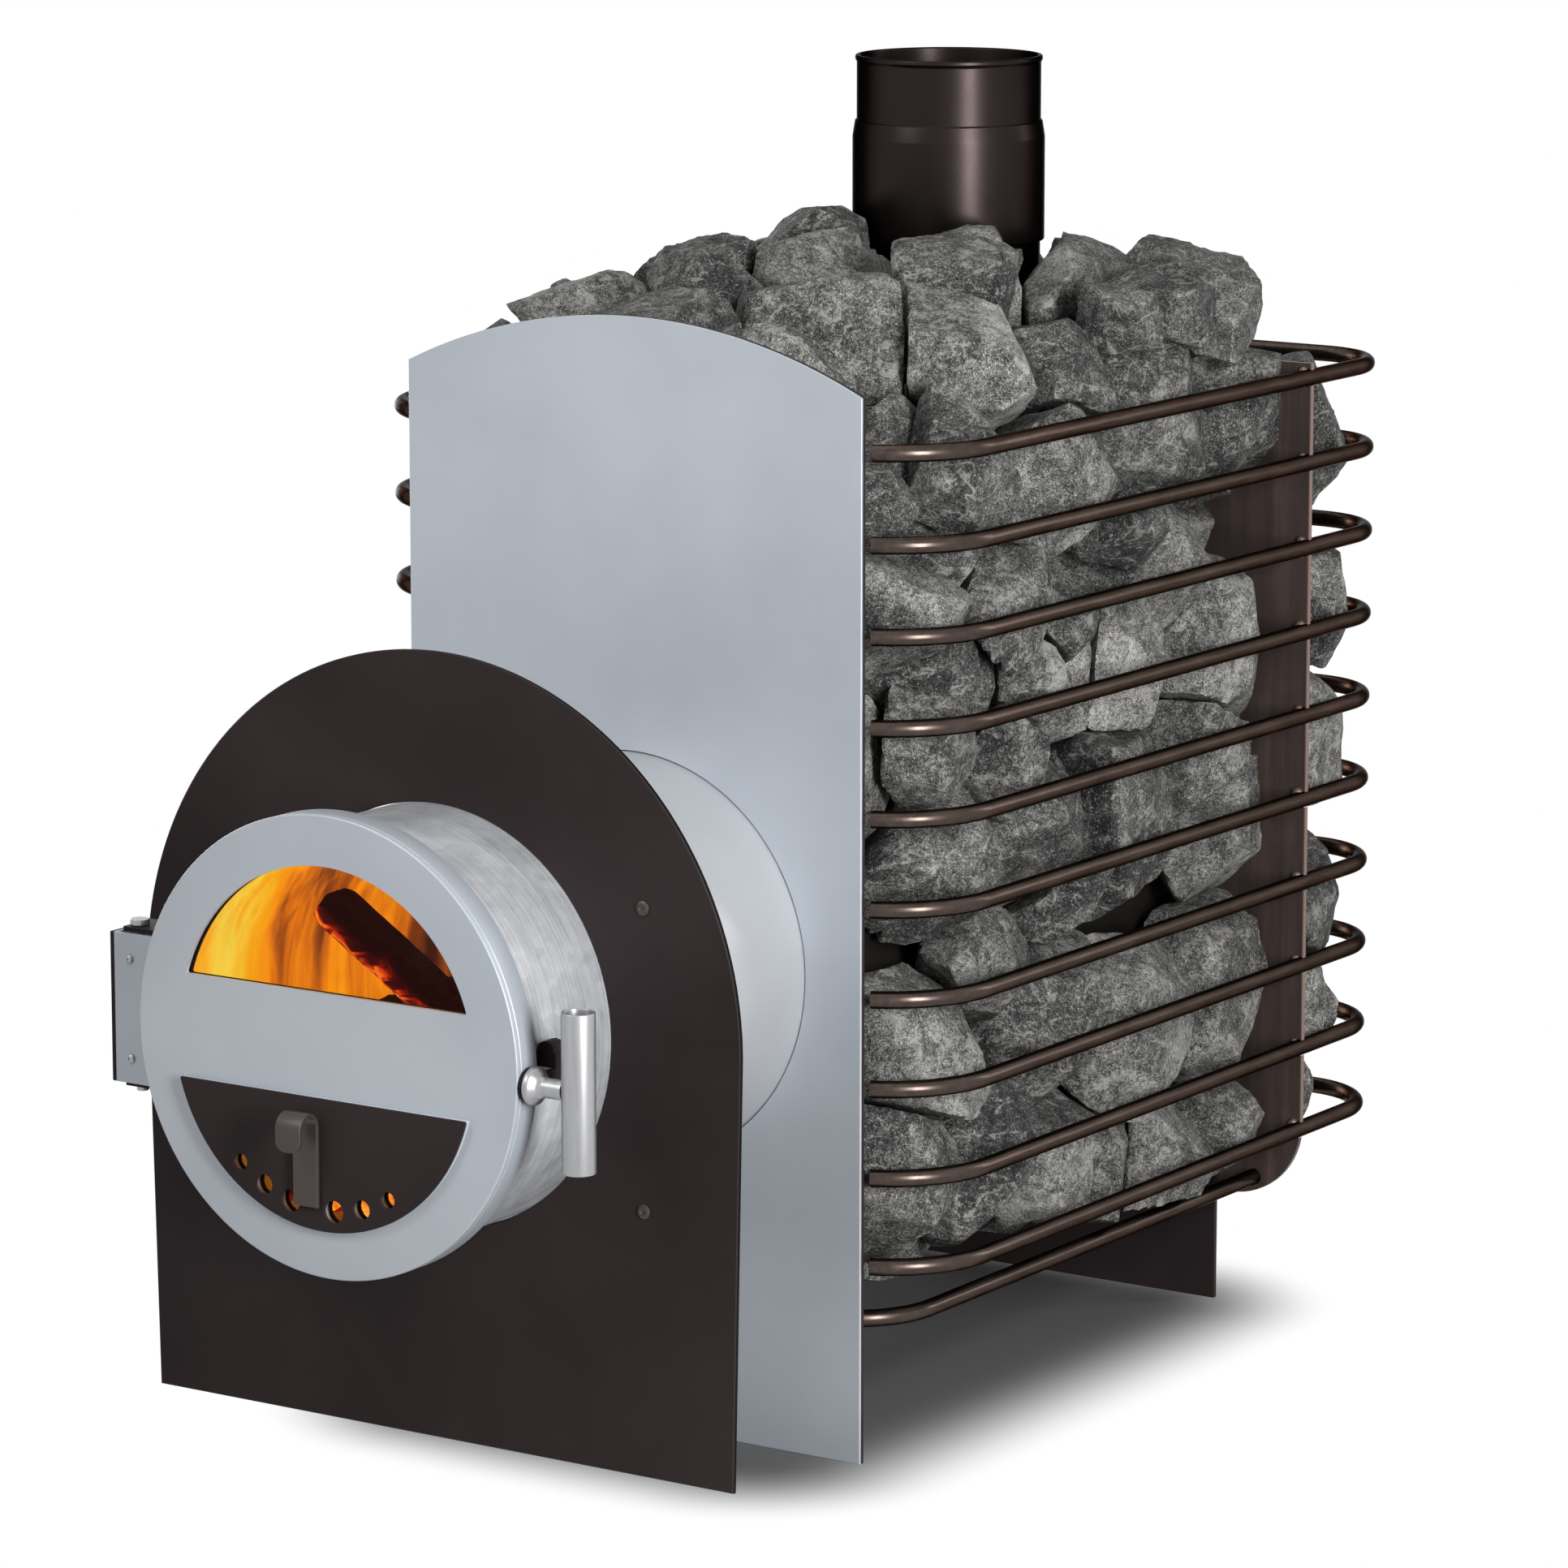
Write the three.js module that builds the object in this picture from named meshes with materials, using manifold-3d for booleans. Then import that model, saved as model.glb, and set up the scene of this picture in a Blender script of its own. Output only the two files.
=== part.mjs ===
// Wood-fired sauna stove with a basket of stones and a round door at the end of a firing tunnel.
// Millimetres, +Z up, the door faces -Y, the floor is z = 0 and the front panel stands at y = 0.
import * as THREE from 'three';
import { mergeVertices } from 'three/addons/utils/BufferGeometryUtils.js';
import Module from 'manifold-3d';

// Working gap between pieces that touch
const GAP = 0.3;

// Silver front panel of the basket and the dark plate behind it
const PANEL_HALF = 186;
const PANEL_SHOULDER = 727;
const PANEL_RISE = 42;
const PANEL_SHEET = 2;
const BACKING_SHEET = 3;

// Firing tunnel, level, and the collar that carries the door
const AXIS_Z = 331;
const TUNNEL_R = 141;
const TUNNEL_WALL = 3;
const TUNNEL_REACH = 227;
const TUNNEL_TAIL = 8;
const COLLAR_REACH = 104;

// Dark arched plate of the fire front
const PLATE_HALF = 242;
const PLATE_FOOT_HALF = 236;
const PLATE_FOOT_Z = 44;
const PLATE_THICK = 4;
const PLATE_SCREW_X = 167;
const PLATE_SCREW_HIGH = 91;
const PLATE_SCREW_LOW = -109;
const PLATE_SCREW_R = 5.2;
const PLATE_SCREW_H = 1.4;
const SCREW_EDGE = 0.4;
const SCREW_TOP = 0.7;

// Door lid
const DOOR_R = 152.5;
const DOOR_SHEET = 3;
const RIM_DEPTH = 22;
const RIM_LAP = 8;
const RIM_ROUND = 3;
const WINDOW_R = 119;
const WINDOW_SILL = 36;
const GLASS_LAP = 8;
const GLASS_THICK = 4;
const RETAINER_THICK = 2;
const RETAINER_LAP = 4;
const GASKET_IN = 5;
const GASKET_OUT = 5;

// Air plate, its seat, and the rotary shutter behind the lid
const AIR_R = 120;
const AIR_TOP = 32;
const SEAT_THICK = 2.7;
const AIR_THICK = 1.7;
const HOLE_RING = 106;
const HOLE_FIRST = 9.5;
const HOLE_STEP = 12.4;
const HOLE_PAIRS = 3;
const HOLE_R = 7.3;
const HOLE_SHRINK = 1;
const HOLE_TURN = -4.4;
const HOLE_EASE = 3;
const SHUTTER_EASE = 1.5;
const SHUTTER_R = 125;
const SHUTTER_HALF_ANGLE = 54;
const SHUTTER_THICK = 2;
const SHUTTER_TRAVEL = 6.3;
const HUB_R = 14;
const PIVOT_R = 4;
const PIVOT_HEAD_R = 8;
const PIVOT_HEAD_H = 2.5;

// Hairpin knob of the shutter
const KNOB_X = -11;
const KNOB_W = 20;
const KNOB_STRIP = 3;
const KNOB_BEND = 9;
const KNOB_TOP = -40;
const KNOB_BACK_END = -104;
const KNOB_FRONT_END = -65;
const KNOB_CORNER = 7;
const KNOB_PIN_R = 2.5;
const KNOB_PIN_Z = -72;

// Handle and latch on the right of the lid
const HANDLE_Z = -6;
const HANDLE_BACK = 11;
const HANDLE_X = 192;
const HANDLE_R = 11;
const HANDLE_WALL = 1.5;
const HANDLE_LENGTH = 104;
const STEM_R = 6.5;
const STEM_PIN_R = 4;
const STEM_PIN_TAIL = 2;
const BOSS_R = 12.5;
const BOSS_LENGTH = 8;
const BOSS_STEP = 0.6;
const BOSS_NOSE = 0.8;
const TONGUE_EYE = 0.9;
const TONGUE_THICK = 3;
const TONGUE_REACH = 36;
const TONGUE_HALF = 6;
const KEEPER_DEPTH = 12;
const KEEPER_HEIGHT = 17;
const KEEPER_OUT = 16;
const KEEPER_SQUARE = 0.6;

// Hinge on the left of the lid
const HINGE_X = -180;
const HINGE_BACK = 14;
const HINGE_HALF = 50.5;
const LEAF_SHEET = 2;
const LEAF_LEFT = -191;
const LEAF_RIGHT = -145;
const LEAF_DEPTH = 32;
const SLEEVE_R = 7;
const PIN_R = 4;
const PIN_HEAD_R = 6.5;
const PIN_HEAD_H = 4;
const SIDE_SHEET = 3;
const EAR_THICK = 3;
const EAR_FRONT = 9;
const EAR_REAR = 20;
const LEAF_SCREW_R = 3.8;
const LEAF_SCREW_H = 2;
const LEAF_SCREW_RISE = 33.5;
const SIDE_SCREW_HIGH = 40;
const SIDE_SCREW_LOW = -18;

// Firebox, grate, logs and flue
const FIREBOX_R = 150;
const FIREBOX_WALL = 4;
const FIREBOX_LENGTH = 464;
const GRATE_DROP = 100;
const GRATE_THICK = 6;
const GRATE_START = 8;
const GRATE_SHORT = 28.6;
const GRATE_BARS = 9;
const GRATE_BAR = 9;
const LOG_OVERHANG = 7;
const LOG_LENGTH = 230;
const LOG_LEFT_R = 50;
const LOG_LEFT_X = -68.7;
const LOG_RIGHT_R = 20;
const LEANING_R = 19;
const LEANING_TILT = 31;
const LEANING_UP = 90;
const LEANING_LENGTH = 225;
const LEANING_BACK = 22;
const FLUE_FROM_BACK = 70.6;
const FLUE_TOP = 918;
const FLUE_R = 66;
const FLUE_WALL = 2.5;
const SLEEVE_FLUE_R = 69;
const SLEEVE_LOW = 786;
const SLEEVE_HIGH = 872;
const SLEEVE_TAPER = 10;

// Basket rods, rear rib and rear foot
const ROD_R = 6;
const ROD_COUNT = 10;
const ROD_LOW = 136;
const ROD_PITCH = 61.5;
const ROD_HALF = 233;
const ROD_START_OUT = 1;
const ROD_FRONT_ANGLE = 66;
const ROD_REAR_R = 60;
const REAR_POCKET = 132;
const ROD_SIDES = 8;
const BAR_Z = 96;
const BAR_INSET = 35;
const BAR_BEND = 38;
const BAR_COUNT = 4;
const RIB_BEHIND = 39.1;
const RIB_THICK = 4;
const RIB_BAND = 90;
const RIB_TOP = 700;
const RIB_BOTTOM = 82;
const RIB_CORNER = 58;
const RIB_EDGE = 3;
const FOOT_INSET = 66;
const FOOT_TOP = 130;
const FOOT_THICK = 4;

// Stones: clearance, how far they stand out of the packed core, how near they lie and how they are split
const STONE_INSET = 0.6;
const STONE_EASE = 1.2;
const STONE_STAND = 26;
const STONE_LAP = 1.5;
const STONE_SEED = 20261;
const STONE_SIZES = [
  { size: 128, tries: 700 },
  { size: 96, tries: 1600 },
  { size: 66, tries: 3200 },
];
const STONE_CLOSE = 0.84;
const STONE_SEAT = 0.3;
const STONE_SHOWS = 95;
const STONE_LEAST = 0.2;
const STONE_REACH = 4;
const CHIP_SIDES = 2;
const CHIP_COUNT = 2;
const CHIP_LEAST = 44;
const CHIP_MOST = 66;
const CHIP_AHEAD = 0.05;
const CHIP_DEEP = 0.82;
const CHIP_SHALLOW = 0.97;
const WALL_SINK = 3;
const HEAP_LIFT = 12;
const HEAP_STEEP = 2;
const STEEPEST = 48;
const UPRIGHT = 0.8;
const SPLITS = [
  { least: 3, most: 14, sink: 0.03 },
  { least: 16, most: 30, sink: 0.08 },
  { least: 26, most: 44, sink: 0.12 },
];
const CORNER_SPLITS = 1;
const FRONT_TURNS = [-16, -38, -58];
const REAR_TURNS = [22, 45, 68];
const CORNER_TRIM = 1.2;
const RIB_CLEAR = 36;
const HEAP_EDGE = 704;
const HEAP_PEAK = 808;
const HEAP_ROUND = 2.6;
const HEAP_SLOPE = 38;
const HEAP_TOP_Y = 275;
const HEAP_RUN = 250;
const HEAP_FEEL = 5;
const REAR_TOP = 690;
const LOT_STEP = 48271;
const LOT_RANGE = 2147483647;

const wasm = await Module();
wasm.setup();

const rad = THREE.MathUtils.degToRad;
const part = new THREE.Group();
part.name = 'sauna_stove';

const finishes = {
  silver: { color: 0xb4bac2, roughness: 0.45, metalness: 0.6 },
  zinc: { color: 0xb9bcbf, roughness: 0.4, metalness: 0.8 },
  brown: { color: 0x3d3634, roughness: 0.5, metalness: 0.3 },
  bronze: { color: 0x564a44, roughness: 0.3, metalness: 0.8 },
  flue: { color: 0x2f2926, roughness: 0.4, metalness: 0.5 },
  steel: { color: 0xc9ccce, roughness: 0.3, metalness: 0.9 },
  iron: { color: 0x2a2827, roughness: 0.8, metalness: 0.4 },
  glass: { color: 0x402010, roughness: 0.1, metalness: 0 },
  rope: { color: 0x5a5550, roughness: 0.9, metalness: 0 },
  stone: { color: 0x55585a, roughness: 0.9, metalness: 0 },
  wood: { color: 0x2c211b, roughness: 0.9, metalness: 0 },
};

function addPart(name, geometry, finish) {
  const mesh = new THREE.Mesh(geometry, new THREE.MeshStandardMaterial(finishes[finish]));
  mesh.name = name;
  part.add(mesh);
  return mesh;
}

// Solid of a closed surface, ready for boolean work
function solid(geometry) {
  const bare = geometry.clone();
  bare.deleteAttribute('normal');
  bare.deleteAttribute('uv');
  const welded = mergeVertices(bare, 1e-4);
  return new wasm.Manifold(new wasm.Mesh({
    numProp: 3,
    vertProperties: new Float32Array(welded.attributes.position.array),
    triVerts: new Uint32Array(welded.index.array),
  }));
}

function surface(body) {
  const mesh = body.getMesh();
  const geometry = new THREE.BufferGeometry();
  geometry.setAttribute('position', new THREE.BufferAttribute(new Float32Array(mesh.vertProperties), 3));
  geometry.setIndex(new THREE.BufferAttribute(new Uint32Array(mesh.triVerts), 1));
  return geometry;
}

function cut(geometry, ...tools) {
  return surface(tools.reduce((body, tool) => body.subtract(solid(tool)), solid(geometry)));
}

function join(...geometries) {
  return surface(geometries.map(solid).reduce((body, other) => body.add(other)));
}

function box(x0, x1, y0, y1, z0, z1) {
  const geometry = new THREE.BoxGeometry(x1 - x0, y1 - y0, z1 - z0);
  return geometry.translate((x0 + x1) / 2, (y0 + y1) / 2, (z0 + z1) / 2);
}

// Drawing in x and z, thickened from y0 to y1
function plateXZ(shape, y0, y1, curveSegments = 18) {
  const geometry = new THREE.ExtrudeGeometry(shape, { depth: y1 - y0, bevelEnabled: false, curveSegments });
  return geometry.rotateX(Math.PI / 2).translate(0, y1, 0);
}

// Drawing in x and y, thickened from z0 to z1
function plateXY(shape, z0, z1, curveSegments = 12) {
  const geometry = new THREE.ExtrudeGeometry(shape, { depth: z1 - z0, bevelEnabled: false, curveSegments });
  return geometry.translate(0, 0, z0);
}

function rodY(r, y0, y1, x, z, sides) {
  return new THREE.CylinderGeometry(r, r, y1 - y0, sides).translate(x, (y0 + y1) / 2, z);
}

function rodX(r, x0, x1, y, z, sides) {
  const geometry = new THREE.CylinderGeometry(r, r, x1 - x0, sides).rotateZ(Math.PI / 2);
  return geometry.translate((x0 + x1) / 2, y, z);
}

function rodZ(r, z0, z1, x, y, sides) {
  const geometry = new THREE.CylinderGeometry(r, r, z1 - z0, sides).rotateX(Math.PI / 2);
  return geometry.translate(x, y, (z0 + z1) / 2);
}

// Ring turned about the tunnel axis from pairs of radius and y
function turnedY(pairs, sides) {
  const profile = pairs.map(([r, y]) => new THREE.Vector2(r, y));
  return new THREE.LatheGeometry(profile, sides).translate(0, 0, AXIS_Z);
}

function tubeY(outer, inner, y0, y1, sides) {
  return turnedY([[inner, y0], [outer, y0], [outer, y1], [inner, y1], [inner, y0]], sides);
}

function screwHead(r, h) {
  const pairs = [[0, 0], [r, 0], [r, h * SCREW_EDGE], [r * SCREW_TOP, h], [0, h]];
  const profile = pairs.map(([x, y]) => new THREE.Vector2(x, y));
  return new THREE.LatheGeometry(profile, 10);
}

// Segment of a disc about the axis: above a sill, or below one
function halfMoon(r, sill, upper) {
  const tilt = Math.asin(sill / r);
  const shape = new THREE.Shape();
  if (upper) {
    shape.absarc(0, AXIS_Z, r, tilt, Math.PI - tilt, false);
  } else {
    shape.absarc(0, AXIS_Z, r, Math.PI + tilt, 2 * Math.PI - tilt, false);
  }
  shape.closePath();
  return shape;
}

// Point on a circle about the axis, the angle counted from straight down towards +x
function hang(r, angle) {
  return [r * Math.sin(rad(angle)), AXIS_Z - r * Math.cos(rad(angle))];
}

// Basket front: silver panel over a dark plate of the same outline
const panelFront = -PANEL_SHEET / 2;
const panelBack = PANEL_SHEET / 2;
const backingFront = panelBack + GAP;
const backingBack = backingFront + BACKING_SHEET;
const basketFront = backingBack + GAP;
const archR = (PANEL_HALF ** 2 + PANEL_RISE ** 2) / (2 * PANEL_RISE);
const archTilt = Math.asin(PANEL_HALF / archR);
const panelTop = PANEL_SHOULDER + PANEL_RISE;

function panelShape() {
  const shape = new THREE.Shape();
  shape.moveTo(-PANEL_HALF, 0);
  shape.lineTo(PANEL_HALF, 0);
  shape.absarc(0, panelTop - archR, archR, Math.PI / 2 - archTilt, Math.PI / 2 + archTilt, false);
  shape.closePath();
  const hole = new THREE.Path();
  hole.absarc(0, AXIS_Z, TUNNEL_R + 2 * GAP, 0, 2 * Math.PI, true);
  shape.holes.push(hole);
  return shape;
}
addPart('front_panel', plateXZ(panelShape(), panelFront, panelBack), 'silver');
addPart('basket_front_plate', plateXZ(panelShape(), backingFront, backingBack), 'brown');

// Fire front plate: an arch whose sides lean in a little towards the foot
const plateFront = -TUNNEL_REACH;
const plateBack = plateFront + PLATE_THICK;
const plateShape = new THREE.Shape();
plateShape.moveTo(-PLATE_FOOT_HALF, PLATE_FOOT_Z);
plateShape.lineTo(PLATE_FOOT_HALF, PLATE_FOOT_Z);
plateShape.absarc(0, AXIS_Z, PLATE_HALF, 0, Math.PI, false);
plateShape.closePath();
const plateHole = new THREE.Path();
plateHole.absarc(0, AXIS_Z, TUNNEL_R + 2 * GAP, 0, 2 * Math.PI, true);
plateShape.holes.push(plateHole);
addPart('fire_front_plate', plateXZ(plateShape, plateFront, plateBack), 'brown');

let plateScrew = 0;
for (const side of [1, -1]) {
  for (const rise of [PLATE_SCREW_HIGH, PLATE_SCREW_LOW]) {
    plateScrew += 1;
    const head = screwHead(PLATE_SCREW_R, PLATE_SCREW_H).rotateX(Math.PI);
    head.translate(side * PLATE_SCREW_X, plateFront - GAP, AXIS_Z + rise);
    addPart(`plate_screw_${plateScrew}`, head, 'brown');
  }
}

// Collar in front of the plate and tunnel behind it
const collarFront = plateFront - COLLAR_REACH;
const tunnelInner = TUNNEL_R - TUNNEL_WALL;
const bandSides = 40;
const facet = Math.cos(Math.PI / bandSides);
addPart('door_collar', tubeY(TUNNEL_R, tunnelInner, collarFront, plateBack, bandSides), 'zinc');
const tunnelBack = basketFront + TUNNEL_TAIL;
addPart('firing_tunnel', tubeY(TUNNEL_R, tunnelInner, plateBack + GAP, tunnelBack, bandSides), 'silver');

// Lid: a pan with a rounded edge, a half-moon window, air holes and a slot for the knob pin
const rimBack = collarFront + RIM_LAP;
const faceFront = rimBack - RIM_DEPTH;
const faceBack = faceFront + DOOR_SHEET;
const rimInner = DOOR_R - DOOR_SHEET;
const half = RIM_ROUND * (1 - Math.SQRT1_2);
const lid = turnedY([
  [0, faceFront],
  [DOOR_R - RIM_ROUND, faceFront],
  [DOOR_R - half, faceFront + half],
  [DOOR_R, faceFront + RIM_ROUND],
  [DOOR_R, rimBack],
  [rimInner, rimBack],
  [rimInner, faceBack],
  [0, faceBack],
], 48);

const airHoles = [];
for (let i = 0; i < HOLE_PAIRS; i += 1) {
  for (const side of [-1, 1]) {
    const angle = HOLE_TURN + side * (HOLE_FIRST + i * HOLE_STEP);
    airHoles.push({ angle, r: HOLE_R - i * HOLE_SHRINK });
  }
}
const pinRing = Math.hypot(KNOB_X, KNOB_PIN_Z);
const pinAngle = THREE.MathUtils.radToDeg(Math.atan2(KNOB_X, -KNOB_PIN_Z));
const slotHalf = KNOB_PIN_R + GAP;
const slotEase = THREE.MathUtils.radToDeg(slotHalf / pinRing);

function slotPath() {
  const from = pinAngle - slotEase;
  const to = pinAngle + SHUTTER_TRAVEL + slotEase;
  const steps = 4;
  const points = [];
  for (let i = 0; i <= steps; i += 1) {
    points.push(hang(pinRing + slotHalf, from + ((to - from) * i) / steps));
  }
  for (let i = steps; i >= 0; i -= 1) {
    points.push(hang(pinRing - slotHalf, from + ((to - from) * i) / steps));
  }
  return new THREE.Path(points.map(([x, z]) => new THREE.Vector2(x, z)));
}

function holePath(angle, r) {
  const [x, z] = hang(HOLE_RING, angle);
  const path = new THREE.Path();
  path.absarc(x, z, r, 0, 2 * Math.PI, true);
  return path;
}

function airPlateShape(r, ease) {
  const shape = halfMoon(r, AIR_TOP, false);
  airHoles.forEach((hole) => shape.holes.push(holePath(hole.angle, hole.r + ease)));
  shape.holes.push(slotPath());
  return shape;
}

const holeTools = airHoles.map((hole) => {
  const [x, z] = hang(HOLE_RING, hole.angle);
  return rodY(hole.r + HOLE_EASE, faceFront - 1, faceBack + 1, x, z, 16);
});
const slotTool = plateXZ(new THREE.Shape(slotPath().getPoints()), faceFront - 1, faceBack + 1);
const windowTool = plateXZ(halfMoon(WINDOW_R, WINDOW_SILL, true), faceFront - 1, faceBack + 1, 32);
const stemZ = AXIS_Z + HANDLE_Z;
const stemY = rimBack - HANDLE_BACK;
const stemHole = rodX(STEM_PIN_R + GAP, rimInner - DOOR_SHEET, DOOR_R + DOOR_SHEET, stemY, stemZ, 16);
addPart('door_lid', cut(lid, windowTool, slotTool, stemHole, ...holeTools), 'silver');

const seatFront = faceFront - GAP - SEAT_THICK;
const airFront = seatFront - GAP - AIR_THICK;
const airSegments = 8;
const seatShape = airPlateShape(AIR_R, HOLE_EASE);
addPart('air_seat', plateXZ(seatShape, seatFront, faceFront - GAP, airSegments), 'silver');
const airShape = airPlateShape(AIR_R, 0);
addPart('air_plate', plateXZ(airShape, airFront, seatFront - GAP, airSegments), 'brown');

// Glass and its retaining frame behind the window
const glassFront = faceBack + GAP;
const glassBack = glassFront + GLASS_THICK;
const glassR = WINDOW_R + GLASS_LAP;
const glassSill = WINDOW_SILL - GLASS_LAP;
addPart('door_glass', plateXZ(halfMoon(glassR, glassSill, true), glassFront, glassBack), 'glass');
const retainerShape = halfMoon(glassR, glassSill, true);
const retainerOpening = halfMoon(WINDOW_R - RETAINER_LAP, WINDOW_SILL + RETAINER_LAP, true);
retainerShape.holes.push(new THREE.Path(retainerOpening.getPoints(20).reverse()));
const retainerFront = glassBack + GAP;
addPart('glass_retainer', plateXZ(retainerShape, retainerFront, retainerFront + RETAINER_THICK), 'iron');

// Gasket between the lid and the end of the collar
const gasketBack = collarFront - GAP;
const gasketOuter = TUNNEL_R + GASKET_OUT;
const gasketInner = TUNNEL_R - GASKET_IN;
addPart('door_gasket', tubeY(gasketOuter, gasketInner, glassFront, gasketBack, bandSides), 'rope');

// Shutter: a sector on a pivot at the lid's centre, with the same holes as the air plate
const shutterFront = faceBack + GAP;
const shutterBack = shutterFront + SHUTTER_THICK;
const shutterShape = new THREE.Shape();
const sectorFrom = -Math.PI / 2 + rad(HOLE_TURN - SHUTTER_HALF_ANGLE);
const sectorTo = -Math.PI / 2 + rad(HOLE_TURN + SHUTTER_HALF_ANGLE);
shutterShape.absarc(0, AXIS_Z, SHUTTER_R, sectorFrom, sectorTo, false);
shutterShape.absarc(0, AXIS_Z, HUB_R, sectorTo, sectorFrom + 2 * Math.PI, false);
shutterShape.closePath();
airHoles.forEach((hole) => shutterShape.holes.push(holePath(hole.angle, hole.r + SHUTTER_EASE)));
const pivotHole = new THREE.Path();
pivotHole.absarc(0, AXIS_Z, PIVOT_R + GAP, 0, 2 * Math.PI, true);
shutterShape.holes.push(pivotHole);
const [pinX, pinZ] = hang(pinRing, pinAngle);
const pinHole = new THREE.Path();
pinHole.absarc(pinX, pinZ, KNOB_PIN_R + GAP, 0, 2 * Math.PI, true);
shutterShape.holes.push(pinHole);
addPart('air_shutter', plateXZ(shutterShape, shutterFront, shutterBack, airSegments), 'iron');
const pivotTop = shutterBack + GAP;
addPart('shutter_pivot', turnedY([
  [0, glassFront],
  [PIVOT_R, glassFront],
  [PIVOT_R, pivotTop],
  [PIVOT_HEAD_R, pivotTop],
  [PIVOT_HEAD_R, pivotTop + PIVOT_HEAD_H],
  [0, pivotTop + PIVOT_HEAD_H],
], 16), 'steel');

// Knob: one strip bent into a hairpin, with a pin that reaches the shutter
const knobBack = airFront - GAP;
const bendOuter = KNOB_BEND + KNOB_STRIP / 2;
const bendInner = KNOB_BEND - KNOB_STRIP / 2;
const bendY = knobBack - bendOuter;
const bendZ = AXIS_Z + KNOB_TOP - bendOuter;
const knobProfile = new THREE.Shape();
knobProfile.moveTo(-bendY - bendOuter, AXIS_Z + KNOB_BACK_END);
knobProfile.lineTo(-bendY - bendInner, AXIS_Z + KNOB_BACK_END);
knobProfile.absarc(-bendY, bendZ, bendInner, Math.PI, 0, true);
knobProfile.lineTo(-bendY + bendInner, AXIS_Z + KNOB_FRONT_END);
knobProfile.lineTo(-bendY + bendOuter, AXIS_Z + KNOB_FRONT_END);
knobProfile.absarc(-bendY, bendZ, bendOuter, 0, Math.PI, false);
knobProfile.closePath();
const knobBends = { depth: KNOB_W, bevelEnabled: false, curveSegments: 10 };
const knobStrip = new THREE.ExtrudeGeometry(knobProfile, knobBends);
knobStrip.rotateX(Math.PI / 2).rotateZ(-Math.PI / 2).translate(KNOB_X + KNOB_W / 2, 0, 0);

// Outline with four rounded corners in x and z
function roundedRect(x0, x1, z0, z1, r) {
  const shape = new THREE.Shape();
  shape.absarc(x1 - r, z0 + r, r, -Math.PI / 2, 0, false);
  shape.absarc(x1 - r, z1 - r, r, 0, Math.PI / 2, false);
  shape.absarc(x0 + r, z1 - r, r, Math.PI / 2, Math.PI, false);
  shape.absarc(x0 + r, z0 + r, r, Math.PI, (3 * Math.PI) / 2, false);
  shape.closePath();
  return shape;
}
const knobFront = bendY - bendOuter;
const knobTop = AXIS_Z + KNOB_TOP + KNOB_CORNER;
const knobSpan = roundedRect(
  KNOB_X - KNOB_W / 2,
  KNOB_X + KNOB_W / 2,
  AXIS_Z + KNOB_BACK_END,
  knobTop,
  KNOB_CORNER,
);
const knobTrim = plateXZ(knobSpan, knobFront - 1, knobBack + 1, 5);
const knobPin = rodY(KNOB_PIN_R, knobBack - KNOB_STRIP / 2, shutterBack + GAP, pinX, pinZ, 12);
addPart('air_knob', surface(solid(knobStrip).intersect(solid(knobTrim)).add(solid(knobPin))), 'brown');

// Handle: stem through the rim, domed boss, latch tongue and an open upright tube
const tongueX = DOOR_R + GAP;
const bossX = tongueX + TONGUE_THICK;
const bossEnd = bossX + BOSS_LENGTH;
const tubeIn = HANDLE_X - HANDLE_R + HANDLE_WALL / 2;
const stem = join(
  rodX(STEM_PIN_R, rimInner - STEM_PIN_TAIL, bossEnd, stemY, stemZ, 16),
  rodX(BOSS_R, bossX + GAP, bossX + BOSS_LENGTH * BOSS_STEP, stemY, stemZ, 20),
  rodX(BOSS_R * BOSS_NOSE, bossX + GAP, bossEnd, stemY, stemZ, 20),
  rodX(STEM_R, bossX + BOSS_LENGTH / 2, tubeIn, stemY, stemZ, 16),
);
addPart('handle_stem', stem, 'steel');
const tongueEnd = stemY + TONGUE_REACH;
const tongue = join(
  box(tongueX, bossX, stemY, tongueEnd, stemZ - TONGUE_HALF, stemZ + TONGUE_HALF),
  rodX(BOSS_R * TONGUE_EYE, tongueX, bossX, stemY, stemZ, 20),
);
const tongueBore = rodX(STEM_PIN_R + GAP, tongueX - 1, bossX + 1, stemY, stemZ, 16);
addPart('latch_tongue', cut(tongue, tongueBore), 'brown');
const handleInner = HANDLE_R - HANDLE_WALL;
const handleProfile = [
  [handleInner, -HANDLE_LENGTH / 2],
  [HANDLE_R, -HANDLE_LENGTH / 2],
  [HANDLE_R, HANDLE_LENGTH / 2],
  [handleInner, HANDLE_LENGTH / 2],
  [handleInner, -HANDLE_LENGTH / 2],
].map(([r, z]) => new THREE.Vector2(r, z));
const handleTube = new THREE.LatheGeometry(handleProfile, 24).rotateX(Math.PI / 2);
handleTube.translate(HANDLE_X, stemY, stemZ);
const stemSocket = rodX(STEM_R + GAP, tubeIn - HANDLE_R, HANDLE_X, stemY, stemZ, 16);
addPart('handle_tube', cut(handleTube, stemSocket), 'steel');

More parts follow.
